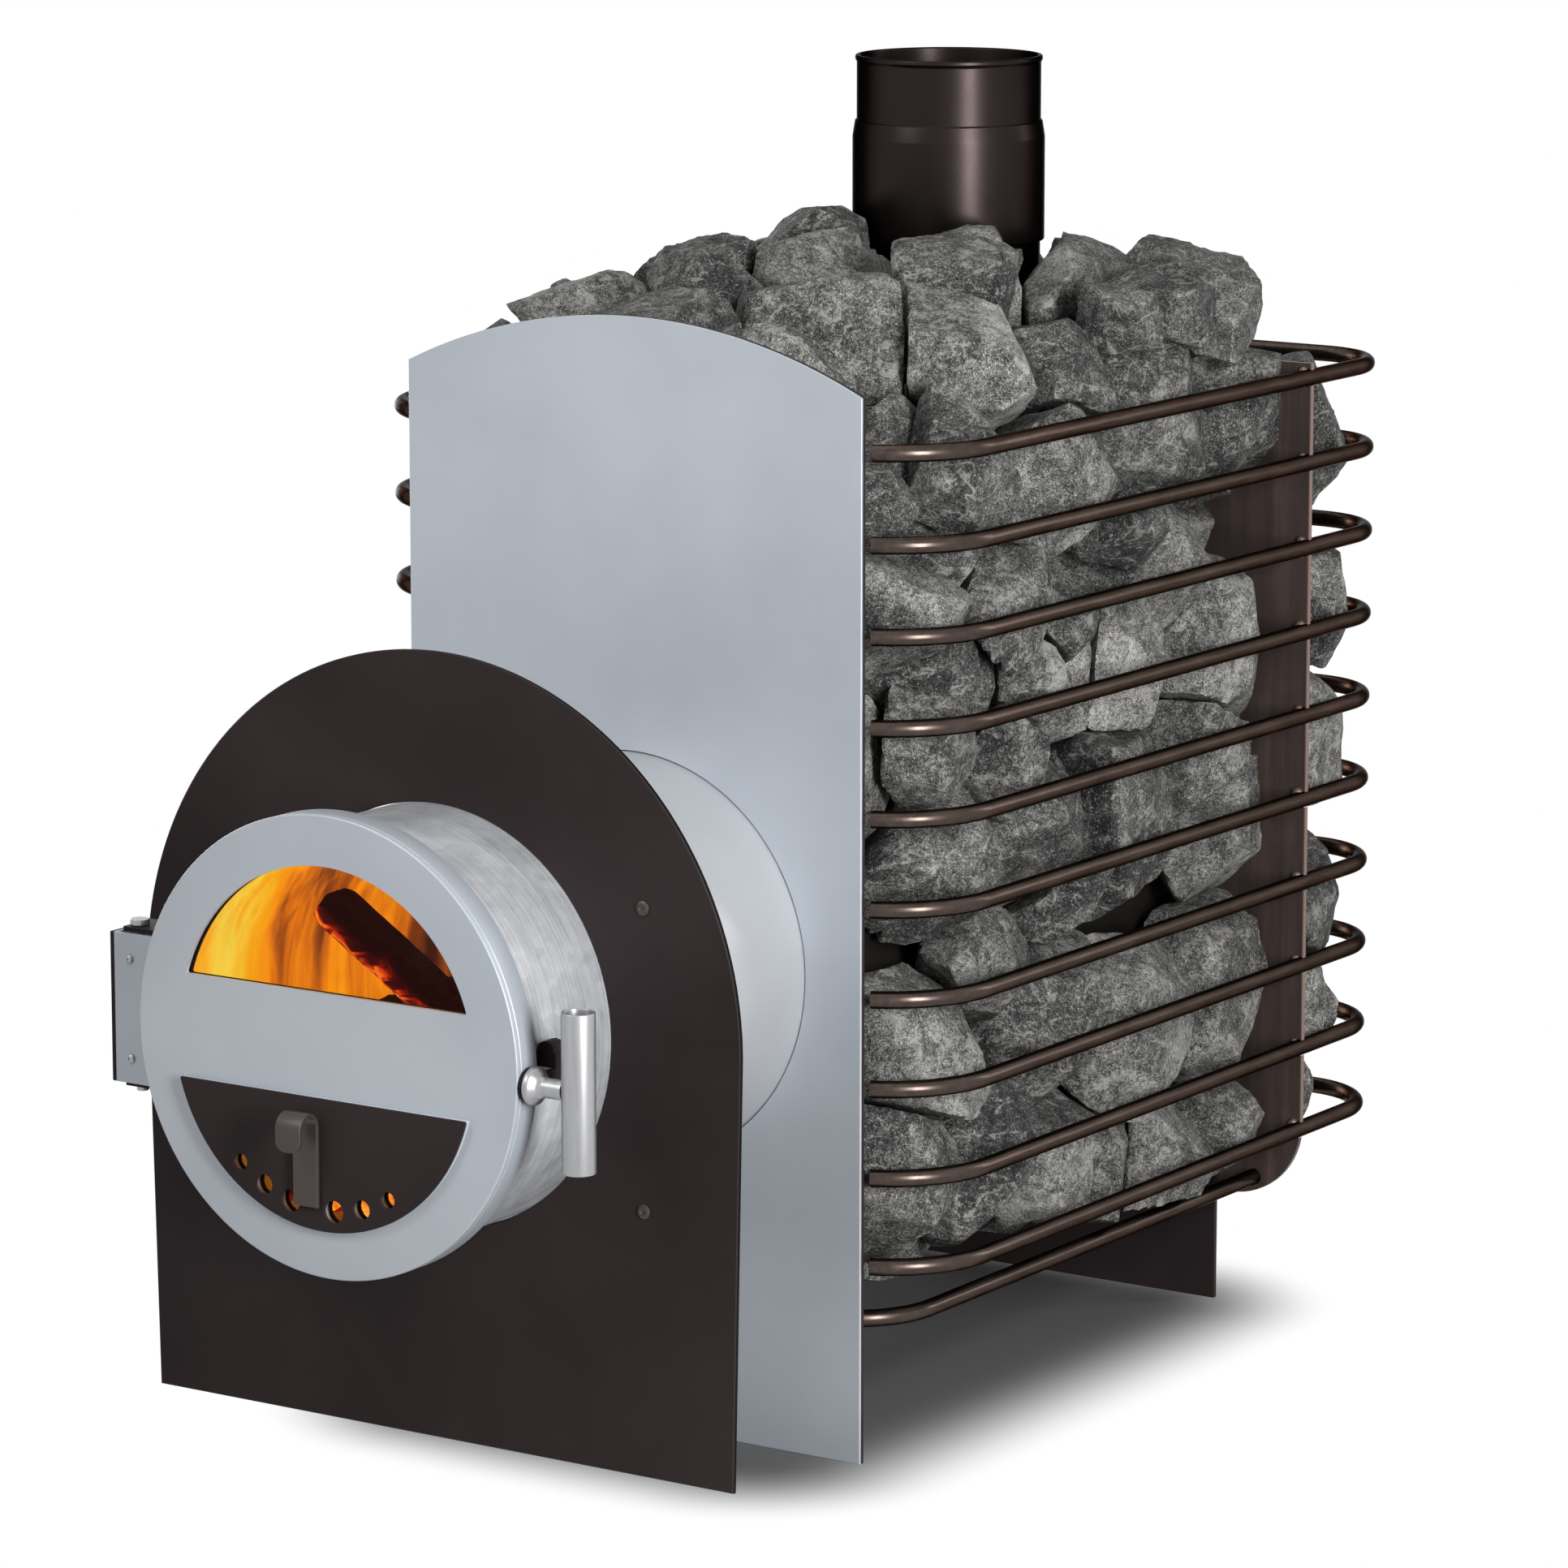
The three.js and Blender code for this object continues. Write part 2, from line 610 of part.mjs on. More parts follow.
// Keeper on the collar, above the tongue
const keeperZ = stemZ + TONGUE_HALF + GAP;
const keeperBase = TUNNEL_R + GAP;
const keeperFront = tongueEnd - KEEPER_DEPTH;
const keeperMid = keeperBase + KEEPER_OUT / 2;
const keeperShoulder = keeperZ + KEEPER_HEIGHT * KEEPER_SQUARE;
const keeperCrownR = KEEPER_HEIGHT * (1 - KEEPER_SQUARE);
const keeperEnd = keeperBase + KEEPER_OUT;
const keeperBlock = box(keeperBase, keeperEnd, keeperFront, tongueEnd, keeperZ, keeperShoulder);
const keeperCrown = rodY(keeperCrownR, keeperFront, tongueEnd, keeperMid, keeperShoulder, 16);
addPart('latch_keeper', join(keeperBlock, keeperCrown), 'brown');

// Hinge: folded leaf with a sleeve, side plate, pin, and two ears on the collar
const leafFront = rimBack + GAP;
const hingeY = rimBack + HINGE_BACK;
const leafLow = AXIS_Z - HINGE_HALF;
const leafHigh = AXIS_Z + HINGE_HALF;
const leaf = join(
  box(LEAF_LEFT, LEAF_RIGHT, leafFront, leafFront + LEAF_SHEET, leafLow, leafHigh),
  box(LEAF_LEFT, LEAF_LEFT + LEAF_SHEET, leafFront, leafFront + LEAF_DEPTH, leafLow, leafHigh),
  rodZ(SLEEVE_R, leafLow, leafHigh, HINGE_X, hingeY, 16),
  box(LEAF_LEFT, HINGE_X, hingeY - LEAF_SHEET / 2, hingeY + LEAF_SHEET / 2, leafLow, leafHigh),
);
const leafBore = rodZ(PIN_R + GAP, leafLow - 1, leafHigh + 1, HINGE_X, hingeY, 16);
addPart('hinge_leaf', cut(leaf, leafBore), 'silver');
const sideRight = LEAF_LEFT - GAP;
const sideLeft = sideRight - SIDE_SHEET;
const sideRear = leafFront + LEAF_DEPTH;
addPart('hinge_side_plate', box(sideLeft, sideRight, leafFront, sideRear, leafLow, leafHigh), 'brown');
const earOuter = HINGE_X - SLEEVE_R;
function ear(z0) {
  const blank = box(earOuter, -TUNNEL_R / 2, hingeY - EAR_FRONT, hingeY + EAR_REAR, z0, z0 + EAR_THICK);
  const bore = rodZ(PIN_R + GAP, z0 - 1, z0 + EAR_THICK + 1, HINGE_X, hingeY, 16);
  const saddle = rodY(TUNNEL_R + GAP, hingeY - EAR_FRONT - 1, hingeY + EAR_REAR + 1, 0, AXIS_Z, bandSides);
  return cut(blank, bore, saddle);
}
const earLow = leafLow - GAP - EAR_THICK;
const earHigh = leafHigh + GAP;
addPart('hinge_ear_low', ear(earLow), 'brown');
addPart('hinge_ear_high', ear(earHigh), 'brown');
const pinTop = earHigh + EAR_THICK + GAP;
const hingePin = join(
  rodZ(PIN_R, earLow - PIN_R, pinTop + PIN_HEAD_H / 2, HINGE_X, hingeY, 16),
  rodZ(PIN_HEAD_R, pinTop, pinTop + PIN_HEAD_H, HINGE_X, hingeY, 16),
);
addPart('hinge_pin', hingePin, 'steel');
[LEAF_SCREW_RISE, -LEAF_SCREW_RISE].forEach((rise, i) => {
  const head = screwHead(LEAF_SCREW_R, LEAF_SCREW_H).rotateX(Math.PI);
  head.translate(HINGE_X + LEAF_SCREW_R / 2, leafFront - GAP, AXIS_Z + rise);
  addPart(`leaf_screw_${i + 1}`, head, 'steel');
});
[SIDE_SCREW_HIGH, SIDE_SCREW_LOW].forEach((rise, i) => {
  const head = screwHead(LEAF_SCREW_R, LEAF_SCREW_H).rotateZ(Math.PI / 2);
  head.translate(sideLeft - GAP, leafFront + LEAF_DEPTH / 2, AXIS_Z + rise);
  addPart(`side_screw_${i + 1}`, head, 'steel');
});

// Firebox behind the basket front, with the grate and logs in reach of the door
const fireboxInner = FIREBOX_R - FIREBOX_WALL;
const fireboxBack = basketFront + FIREBOX_LENGTH;
const crown = AXIS_Z + FIREBOX_R;
const flueRoot = AXIS_Z + Math.sqrt(fireboxInner ** 2 - FLUE_R ** 2);
const flueY = fireboxBack - FLUE_FROM_BACK;
const flueHole = rodZ(FLUE_R + GAP, AXIS_Z, crown + FLUE_R, 0, flueY, 32);
const fireboxTube = tubeY(FIREBOX_R, fireboxInner, basketFront, fireboxBack, bandSides);
addPart('firebox_shell', cut(fireboxTube, flueHole), 'iron');
const fireboxEnd = fireboxBack + GAP + FIREBOX_WALL;
addPart('firebox_back', rodY(FIREBOX_R, fireboxBack + GAP, fireboxEnd, 0, AXIS_Z, bandSides), 'iron');

const grateTop = AXIS_Z - GRATE_DROP;
const grateHalf = Math.sqrt((tunnelInner * facet) ** 2 - (GRATE_DROP + GRATE_THICK) ** 2) - GAP;
const grateFront = plateBack + GRATE_START;
const grateBack = fireboxBack - GRATE_SHORT;
const barPitch = (2 * grateHalf - GRATE_BAR) / (GRATE_BARS - 1);
const grateLow = grateTop - GRATE_THICK;
const grateSlots = [];
for (let i = 0; i < GRATE_BARS - 1; i += 1) {
  const x0 = -grateHalf + GRATE_BAR + i * barPitch;
  const x1 = x0 + barPitch - GRATE_BAR;
  grateSlots.push(box(x0, x1, grateFront + GRATE_BAR, grateBack - GRATE_BAR, grateLow - 1, grateTop + 1));
}
const grateBlank = box(-grateHalf, grateHalf, grateFront, grateBack, grateLow, grateTop);
addPart('grate', cut(grateBlank, ...grateSlots), 'iron');

// Two logs lie on the grate, a thick one and a thin one, and a third leans across them
const logFront = grateFront - LOG_OVERHANG;
const logBack = logFront + LOG_LENGTH;
const leftZ = grateTop + GAP + LOG_LEFT_R;
const rightZ = grateTop + GAP + LOG_RIGHT_R;
const lean = rad(LEANING_TILT);
const leftReach = LOG_LEFT_R + LEANING_R + GAP;
const rightReach = LOG_RIGHT_R + LEANING_R + GAP;
const restX = LOG_LEFT_X + leftReach * Math.sin(lean);
const restZ = leftZ + leftReach * Math.cos(lean);
const rightX = restX + ((restZ - rightZ) * Math.cos(lean) - rightReach) / Math.sin(lean);
const leanMid = LEANING_LENGTH / 2 - LEANING_UP;
addPart('log_left', rodY(LOG_LEFT_R, logFront, logBack, LOG_LEFT_X, leftZ, 14), 'wood');
addPart('log_right', rodY(LOG_RIGHT_R, logFront, logBack, rightX, rightZ, 12), 'wood');
const leaningLog = rodX(LEANING_R, -LEANING_LENGTH / 2, LEANING_LENGTH / 2, 0, 0, 12);
leaningLog.rotateY(lean).translate(
  restX + leanMid * Math.cos(lean),
  logFront + LEANING_BACK,
  restZ - leanMid * Math.sin(lean),
);
addPart('log_top', leaningLog, 'wood');

// Flue: a spigot out of the firebox crown and the wider sleeve round it
function turnedZ(pairs, y, sides) {
  const profile = pairs.map(([r, z]) => new THREE.Vector2(r, z));
  return new THREE.LatheGeometry(profile, sides).rotateX(Math.PI / 2).translate(0, y, 0);
}
const flueInner = FLUE_R - FLUE_WALL;
addPart('flue_pipe', turnedZ([
  [flueInner, flueRoot],
  [FLUE_R, flueRoot],
  [FLUE_R, FLUE_TOP],
  [flueInner, FLUE_TOP],
  [flueInner, flueRoot],
], flueY, 32), 'flue');
const sleeveInner = FLUE_R + GAP;
addPart('flue_sleeve', turnedZ([
  [sleeveInner, SLEEVE_LOW],
  [SLEEVE_FLUE_R - GAP, SLEEVE_LOW],
  [SLEEVE_FLUE_R, SLEEVE_LOW + SLEEVE_TAPER / 3],
  [SLEEVE_FLUE_R, SLEEVE_HIGH - SLEEVE_TAPER],
  [sleeveInner + GAP, SLEEVE_HIGH],
  [sleeveInner, SLEEVE_HIGH],
  [sleeveInner, SLEEVE_LOW],
], flueY, 32), 'flue');

// Plan of the basket: out from the panel on a wide bend, straight back, round the rear corners
const frontAngle = rad(ROD_FRONT_ANGLE);
const rodStartX = PANEL_HALF + ROD_START_OUT;
const ribFront = fireboxEnd + RIB_BEHIND;
const ribBack = ribFront + RIB_THICK;
const rodRearY = ribFront + REAR_POCKET;
const bendR = (ROD_HALF - rodStartX) / (1 - Math.cos(frontAngle));
const rodStartY = basketFront + ROD_R * Math.sin(frontAngle);
const bendCentre = [ROD_HALF - bendR, rodStartY + bendR * Math.sin(frontAngle)];
const rearCentre = [ROD_HALF - ROD_REAR_R, rodRearY - ROD_REAR_R];

function arcKnots([cx, cy], r, from, to, count) {
  const knots = [];
  for (let i = 0; i <= count; i += 1) {
    const a = from + ((to - from) * i) / count;
    knots.push({ x: cx + r * Math.cos(a), y: cy + r * Math.sin(a), tx: -Math.sin(a), ty: Math.cos(a) });
  }
  return knots;
}
const rightKnots = [
  ...arcKnots(bendCentre, bendR, -frontAngle, 0, 4),
  ...arcKnots(rearCentre, ROD_REAR_R, 0, Math.PI / 2, 4),
];
const leftKnots = rightKnots.map((k) => ({ x: -k.x, y: k.y, tx: k.tx, ty: -k.ty })).reverse();
const planKnots = [...rightKnots, ...leftKnots];

class RodPath extends THREE.Curve {
  constructor(knots, z) {
    super();
    this.knots = knots;
    this.z = z;
  }

  getPoint(t, target = new THREE.Vector3()) {
    const at = t * (this.knots.length - 1);
    const i = Math.min(Math.floor(at), this.knots.length - 2);
    const a = this.knots[i];
    const b = this.knots[i + 1];
    const s = at - i;
    return target.set(a.x + (b.x - a.x) * s, a.y + (b.y - a.y) * s, this.z);
  }

  getTangent(t, target = new THREE.Vector3()) {
    const k = this.knots[Math.round(t * (this.knots.length - 1))];
    return target.set(k.tx, k.ty, 0);
  }

  getTangentAt(u, target) {
    return this.getTangent(u, target);
  }

  getSpacedPoints(count) {
    return this.getPoints(count);
  }
}

function roundShape(r, sides) {
  const points = [];
  for (let i = 0; i < sides; i += 1) {
    const a = (2 * Math.PI * (i + 0.5)) / sides;
    points.push(new THREE.Vector2(r * Math.cos(a), r * Math.sin(a)));
  }
  return new THREE.Shape(points);
}

const rodShape = roundShape(ROD_R, ROD_SIDES);

function bentRod(knots, z) {
  return new THREE.ExtrudeGeometry(rodShape, {
    extrudePath: new RodPath(knots, z),
    steps: knots.length - 1,
    bevelEnabled: false,
  });
}

const rodHeights = [];
for (let i = 0; i < ROD_COUNT; i += 1) {
  const z = ROD_LOW + i * ROD_PITCH;
  rodHeights.push(z);
  addPart(`basket_rod_${String(i + 1).padStart(2, '0')}`, bentRod(planKnots, z), 'bronze');
}

// Bottom bars, rear rib with a notch for each rod, and the rear foot in front of it
const footBack = ribFront - GAP;
const footFront = footBack - FOOT_THICK;
const footHalf = ROD_HALF - FOOT_INSET;
const barX = ROD_HALF - BAR_INSET;
const barBendR = BAR_BEND / (1 - Math.cos(frontAngle));
const barBendCentre = [barX - barBendR, rodStartY + barBendR * Math.sin(frontAngle)];
const barKnots = [
  ...arcKnots(barBendCentre, barBendR, -frontAngle, 0, 4),
  { x: barX, y: ribFront - GAP, tx: 0, ty: 1 },
];
const mirrorKnots = barKnots.map((k) => ({ x: -k.x, y: k.y, tx: k.tx, ty: -k.ty })).reverse();
for (let i = 0; i < BAR_COUNT; i += 1) {
  const x = -barX + (2 * barX * i) / (BAR_COUNT - 1);
  const straight = rodY(ROD_R, basketFront, footFront - GAP, x, BAR_Z, ROD_SIDES);
  const outer = x < 0 ? mirrorKnots : barKnots;
  const bar = i === 0 || i === BAR_COUNT - 1 ? bentRod(outer, BAR_Z) : straight;
  addPart(`bottom_bar_${i + 1}`, bar, 'bronze');
}

const ribHalf = ROD_HALF + RIB_EDGE;
const ribShape = new THREE.Shape();
ribShape.moveTo(ribHalf, RIB_TOP);
ribShape.lineTo(ribHalf - RIB_BAND, RIB_TOP);
ribShape.lineTo(ribHalf - RIB_BAND, RIB_BOTTOM + RIB_BAND);
ribShape.lineTo(-ribHalf + RIB_BAND, RIB_BOTTOM + RIB_BAND);
ribShape.lineTo(-ribHalf + RIB_BAND, RIB_TOP);
ribShape.lineTo(-ribHalf, RIB_TOP);
ribShape.absarc(-ribHalf + RIB_CORNER, RIB_BOTTOM + RIB_CORNER, RIB_CORNER, Math.PI, 1.5 * Math.PI, false);
ribShape.absarc(ribHalf - RIB_CORNER, RIB_BOTTOM + RIB_CORNER, RIB_CORNER, -Math.PI / 2, 0, false);
ribShape.closePath();
const notchR = (ROD_R + GAP) / Math.cos(Math.PI / ROD_SIDES);
const notches = [];
for (const z of rodHeights) {
  for (const side of [-1, 1]) {
    notches.push(rodY(notchR, ribFront - 1, ribBack + 1, side * ROD_HALF, z, ROD_SIDES));
  }
}
addPart('rear_rib', cut(plateXZ(ribShape, ribFront, ribBack, 8), ...notches), 'brown');
addPart('rear_foot', box(-footHalf, footHalf, footFront, footBack, 0, FOOT_TOP), 'brown');

// Stones: split rocks laid close together, the big ones first, each cut to flat faces
let lot = STONE_SEED;
function draw(low, high) {
  lot = (lot * LOT_STEP) % LOT_RANGE;
  return low + ((high - low) * lot) / LOT_RANGE;
}

const bedLow = BAR_Z + ROD_R + GAP;
const stoneFront = basketFront + GAP;
const stoneBack = footFront - STONE_INSET;
const rearFront = ribBack + STONE_INSET;
const insetPlan = ROD_R + STONE_INSET;
const stoneHalf = ROD_HALF - insetPlan;
const stoneRear = rodRearY - insetPlan;
const sideInner = FIREBOX_R + STONE_INSET;
const flueRoom = SLEEVE_FLUE_R + STONE_INSET;
const topLow = crown + STONE_INSET;

function heap(x, y) {
  const across = Math.abs(x) / stoneHalf;
  const along = (y - HEAP_TOP_Y) / HEAP_RUN;
  const fall = (HEAP_PEAK - HEAP_EDGE) * across ** HEAP_ROUND + HEAP_SLOPE * along ** 2;
  return Math.max(HEAP_EDGE, HEAP_PEAK - fall);
}

function way(x, y, z) {
  return new THREE.Vector3(x, y, z).normalize();
}

// Flat limits round a stone: outward direction, distance from its middle and kind
function limitsAt(spot, rear) {
  const { x, y, z } = spot;
  const side = x >= 0 ? 1 : -1;
  const limits = [
    { out: way(side, 0, 0), depth: stoneHalf - Math.abs(x), kind: 'wall' },
    { out: way(0, 0, -1), depth: z - bedLow, kind: 'floor' },
    { out: way(0, 1, 0), depth: (rear ? stoneRear : stoneBack) - y, kind: rear ? 'wall' : 'rib' },
    { out: way(0, -1, 0), depth: y - (rear ? rearFront : stoneFront), kind: 'panel' },
  ];
  const [cx, cy] = rear ? rearCentre : bendCentre;
  const bow = (rear ? ROD_REAR_R : bendR) - insetPlan - CORNER_TRIM;
  for (const turn of rear ? REAR_TURNS : FRONT_TURNS) {
    const across = Math.cos(rad(turn));
    const along = Math.sin(rad(turn));
    const depth = bow - (Math.abs(x) - cx) * across - (y - cy) * along;
    limits.push({ out: way(side * across, along, 0), depth, kind: 'corner' });
  }
  if (rear) {
    limits.push({ out: way(0, 0, 1), depth: REAR_TOP - z, kind: 'heap' });
    return limits;
  }
  const slopeX = (heap(x + HEAP_FEEL, y) - heap(x - HEAP_FEEL, y)) / (2 * HEAP_FEEL);
  const slopeY = (heap(x, y + HEAP_FEEL) - heap(x, y - HEAP_FEEL)) / (2 * HEAP_FEEL);
  const up = way(-slopeX, -slopeY, 1);
  limits.push({ out: up, depth: (heap(x, y) - z) * up.z, kind: 'heap' });
  const toAxis = Math.hypot(x, z - AXIS_Z);
  limits.push({ out: way(-x, 0, AXIS_Z - z), depth: toAxis - sideInner, kind: 'firebox' });
  if (z > topLow) {
    const toFlue = Math.hypot(x, y - flueY);
    limits.push({ out: way(-x, flueY - y, 0), depth: toFlue - flueRoom, kind: 'flue' });
  }
  return limits;
}

function scatter(rear) {
  const laid = [];
  for (const { size, tries } of STONE_SIZES) {
    for (let i = 0; i < tries; i += 1) {
      const x = draw(-stoneHalf, stoneHalf);
      const y = draw(rear ? rearFront : stoneFront, rear ? stoneRear : stoneBack);
      const spot = new THREE.Vector3(x, y, draw(bedLow, HEAP_PEAK));
      const room = Math.min(...limitsAt(spot, rear).map((limit) => limit.depth));
      const crowded = laid.some((other) => {
        const near = (STONE_CLOSE * (size + other.size)) / 2;
        return spot.distanceTo(other.spot) <= near;
      });
      if (room >= STONE_SEAT * size && !crowded) {
        laid.push({ spot, size });
      }
    }
  }
  return laid;
}

// Direction that leans off another one
function leaning(out, degrees, turn) {
  const helper = Math.abs(out.z) < UPRIGHT ? way(0, 0, 1) : way(1, 0, 0);
  const aside = out.clone().cross(helper).normalize();
  const other = out.clone().cross(aside);
  const lean = Math.tan(rad(degrees));
  const across = aside.multiplyScalar(Math.cos(turn)).addScaledVector(other, Math.sin(turn));
  return out.clone().addScaledVector(across, lean).normalize();
}

// Flat faces of one stone
function facesOf({ spot, size }, laid, rear) {
  const faces = [];
  const seen = [];
  for (const other of laid) {
    const apart = spot.distanceTo(other.spot);
    if (apart > 0 && apart < size + other.size) {
      const half = apart / 2 + ((size / 2) ** 2 - (other.size / 2) ** 2) / (2 * apart);
      faces.push({ out: other.spot.clone().sub(spot).divideScalar(apart), depth: half, lap: STONE_LAP });
    }
  }
  for (const { out, depth, kind } of limitsAt(spot, rear)) {
    const shows = ['wall', 'corner', 'heap'].includes(kind) && depth < STONE_SHOWS;
    let lift = kind === 'heap' ? draw(0, HEAP_LIFT) : draw(-WALL_SINK, 0);
    if (kind === 'rib' && Math.abs(spot.x) > sideInner) {
      lift = -draw(RIB_CLEAR / 2, RIB_CLEAR);
    }
    faces.push({ out, depth: Math.max(STONE_LEAST * size, depth + lift), lap: 0 });
    if (shows) {
      seen.push(out);
    }
    const splits = kind === 'corner' ? SPLITS.slice(0, CORNER_SPLITS) : SPLITS;
    for (const { least, most, sink } of shows ? splits : []) {
      const steep = (kind === 'heap' ? HEAP_STEEP : 1) * draw(least, most);
      const lean = leaning(out, Math.min(STEEPEST, steep), draw(0, 2 * Math.PI));
      const sunk = depth + lift - size * draw(0, sink);
      faces.push({ out: lean, depth: Math.max(STONE_LEAST * size, sunk), lap: 0 });
    }
  }
  for (const out of seen.slice(0, CHIP_SIDES)) {
    for (let i = 0; i < CHIP_COUNT; i += 1) {
      const chip = leaning(out, draw(CHIP_LEAST, CHIP_MOST), draw(0, 2 * Math.PI));
      const ahead = faces.filter((face) => chip.dot(face.out) > CHIP_AHEAD);
      const near = Math.min(...ahead.map((face) => face.depth / chip.dot(face.out)));
      faces.push({ out: chip, depth: near * draw(CHIP_DEEP, CHIP_SHALLOW), lap: 0 });
    }
  }
  return faces;
}

function rock({ spot, size }, faces) {
  const reach = STONE_REACH * size;
  const start = wasm.Manifold.cube([reach, reach, reach], true).translate([spot.x, spot.y, spot.z]);
  return faces.reduce((body, { out, depth, lap }) => {
    const offset = out.dot(spot) + depth + lap;
    return body.trimByPlane([-out.x, -out.y, -out.z], -offset);
  }, start);
}

function rocks(rear) {
  const laid = scatter(rear);
  return laid.map((stone) => rock(stone, facesOf(stone, laid, rear)));
}
const frontRocks = wasm.Manifold.union(rocks(false)).simplify(STONE_EASE);
const rearRocks = wasm.Manifold.union(rocks(true)).simplify(STONE_EASE);

// Inside of the basket, a given distance in from the rods' middle line
function insideBasket(inset) {
  const plan = new THREE.Shape([
    new THREE.Vector2(-rodStartX + inset, stoneFront),
    new THREE.Vector2(rodStartX - inset, stoneFront),
    ...planKnots.map((k) => new THREE.Vector2(k.x - k.ty * inset, k.y + k.tx * inset)),
  ]);
  return solid(plateXY(plan, bedLow, FLUE_TOP));
}
const basketSpace = insideBasket(insetPlan);
const coreSpace = insideBasket(insetPlan + STONE_STAND);
const flueClear = solid(rodZ(flueRoom, crown, FLUE_TOP + 1, 0, flueY, 32));

function pile(name, core, stones, space) {
  const whole = solid(core).intersect(coreSpace).add(stones);
  const body = whole.intersect(basketSpace).intersect(solid(space)).subtract(flueClear);
  const pieces = body.decompose().sort((a, b) => b.volume() - a.volume());
  addPart(name, surface(pieces[0].simplify(STONE_INSET / 2)), 'stone');
}

const coreBack = stoneBack - RIB_CLEAR;
for (const [name, side] of [['stones_right', 1], ['stones_left', -1]]) {
  const x0 = Math.min(side * sideInner, side * stoneHalf);
  const x1 = Math.max(side * sideInner, side * stoneHalf);
  const core = box(x0, x1, stoneFront, coreBack, bedLow, topLow - GAP);
  pile(name, core, frontRocks, box(x0, x1, stoneFront, stoneBack, bedLow, topLow - GAP));
}

const underHigh = AXIS_Z - sideInner;
const underHalf = sideInner - GAP;
const underSpace = box(-underHalf, underHalf, stoneFront, stoneBack, bedLow, underHigh);
pile('stones_under', underSpace, frontRocks, underSpace);

// Heap on top: a mound in slices under the upper stones, narrower where the stones keep clear of the rib
const moundSteps = 8;
const moundSlices = 5;
function moundSlice(y0, y1, halfWidth) {
  const shape = new THREE.Shape();
  shape.moveTo(-halfWidth, topLow);
  shape.lineTo(halfWidth, topLow);
  for (let i = 0; i <= moundSteps; i += 1) {
    const x = halfWidth - (2 * halfWidth * i) / moundSteps;
    shape.lineTo(x, Math.min(heap(x, y0), heap(x, y1)) - STONE_STAND);
  }
  shape.closePath();
  return plateXZ(shape, y0, y1 + STONE_LAP);
}
const mound = [moundSlice(coreBack, stoneBack, sideInner)];
for (let i = 0; i < moundSlices; i += 1) {
  const depth = (coreBack - stoneFront) / moundSlices;
  mound.push(moundSlice(stoneFront + i * depth, stoneFront + (i + 1) * depth, stoneHalf));
}
const topSpace = box(-stoneHalf, stoneHalf, stoneFront, stoneBack, topLow, FLUE_TOP);
pile('stones_top', join(...mound), frontRocks, topSpace);

const rearCore = box(-stoneHalf, stoneHalf, rearFront, stoneRear, bedLow, REAR_TOP - STONE_STAND);
const rearSpace = box(-stoneHalf, stoneHalf, rearFront, stoneRear, bedLow, FLUE_TOP);
pile('stones_rear', rearCore, rearRocks, rearSpace);

export default part;
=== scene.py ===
"""Wood-fired sauna stove: a rod basket of stones, a silver panel and a round glass door on a firing tunnel."""

import math
import random

import bmesh
import bpy
import numpy as np
from mathutils import Matrix, Vector, noise


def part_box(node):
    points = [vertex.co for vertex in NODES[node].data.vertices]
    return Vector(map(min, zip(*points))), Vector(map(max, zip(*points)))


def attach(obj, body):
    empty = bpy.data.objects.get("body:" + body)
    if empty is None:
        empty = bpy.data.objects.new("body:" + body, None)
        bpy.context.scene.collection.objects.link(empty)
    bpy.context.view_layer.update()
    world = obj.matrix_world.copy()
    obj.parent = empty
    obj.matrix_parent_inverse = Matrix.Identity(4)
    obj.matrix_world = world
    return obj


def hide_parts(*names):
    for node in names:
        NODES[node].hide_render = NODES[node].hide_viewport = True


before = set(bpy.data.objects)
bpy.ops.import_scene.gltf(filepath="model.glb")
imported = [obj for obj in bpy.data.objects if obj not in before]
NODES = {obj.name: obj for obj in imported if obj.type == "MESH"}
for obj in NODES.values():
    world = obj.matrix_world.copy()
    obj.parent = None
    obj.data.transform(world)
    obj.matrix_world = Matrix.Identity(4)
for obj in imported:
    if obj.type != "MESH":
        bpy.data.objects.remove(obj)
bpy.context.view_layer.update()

MM = 0.001

# Camera, in metres and degrees
CAMERA_PLACE = (2.5983, -3.7046, 1.3064)
CAMERA_TURN = 33.74
CAMERA_LENS = 155.47
CAMERA_SENSOR = 36.0
CAMERA_TILT = 10.726

# Sizes shared with the solids, in millimetres
AXIS_Z = 331.0
TUNNEL_R = 141.0
TUNNEL_WALL = 3.0
DOOR_R = 152.5
DOOR_SHEET = 3.0
WINDOW_R = 119.0
WINDOW_SILL = 36.0
AIR_R = 120.0
AIR_TOP = 32.0
HOLE_RING = 106.0
HOLE_FIRST = 9.5
HOLE_STEP = 12.4
HOLE_TURN = -4.4
HOLE_R = 7.3
HOLE_SHRINK = 1.0
HOLE_EASE = 3.0
PANEL_HALF = 186.0
PANEL_SHOULDER = 727.0
PANEL_RISE = 42.0
ROD_R = 6.0
ROD_COUNT = 10
ROD_LOW = 136.0
ROD_PITCH = 61.5
ROD_HALF = 233.0
ROD_START_X = 187.0
ROD_START_ANGLE = 66.0
ROD_REAR_R = 60.0
ROD_REAR_Y = 644.0
BAR_BEND = 38.0
FLUE_Y = 398.0


def span(node):
    """Lowest and highest corner of a solid, in millimetres."""
    low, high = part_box(node)
    return low / MM, high / MM


# Node trees


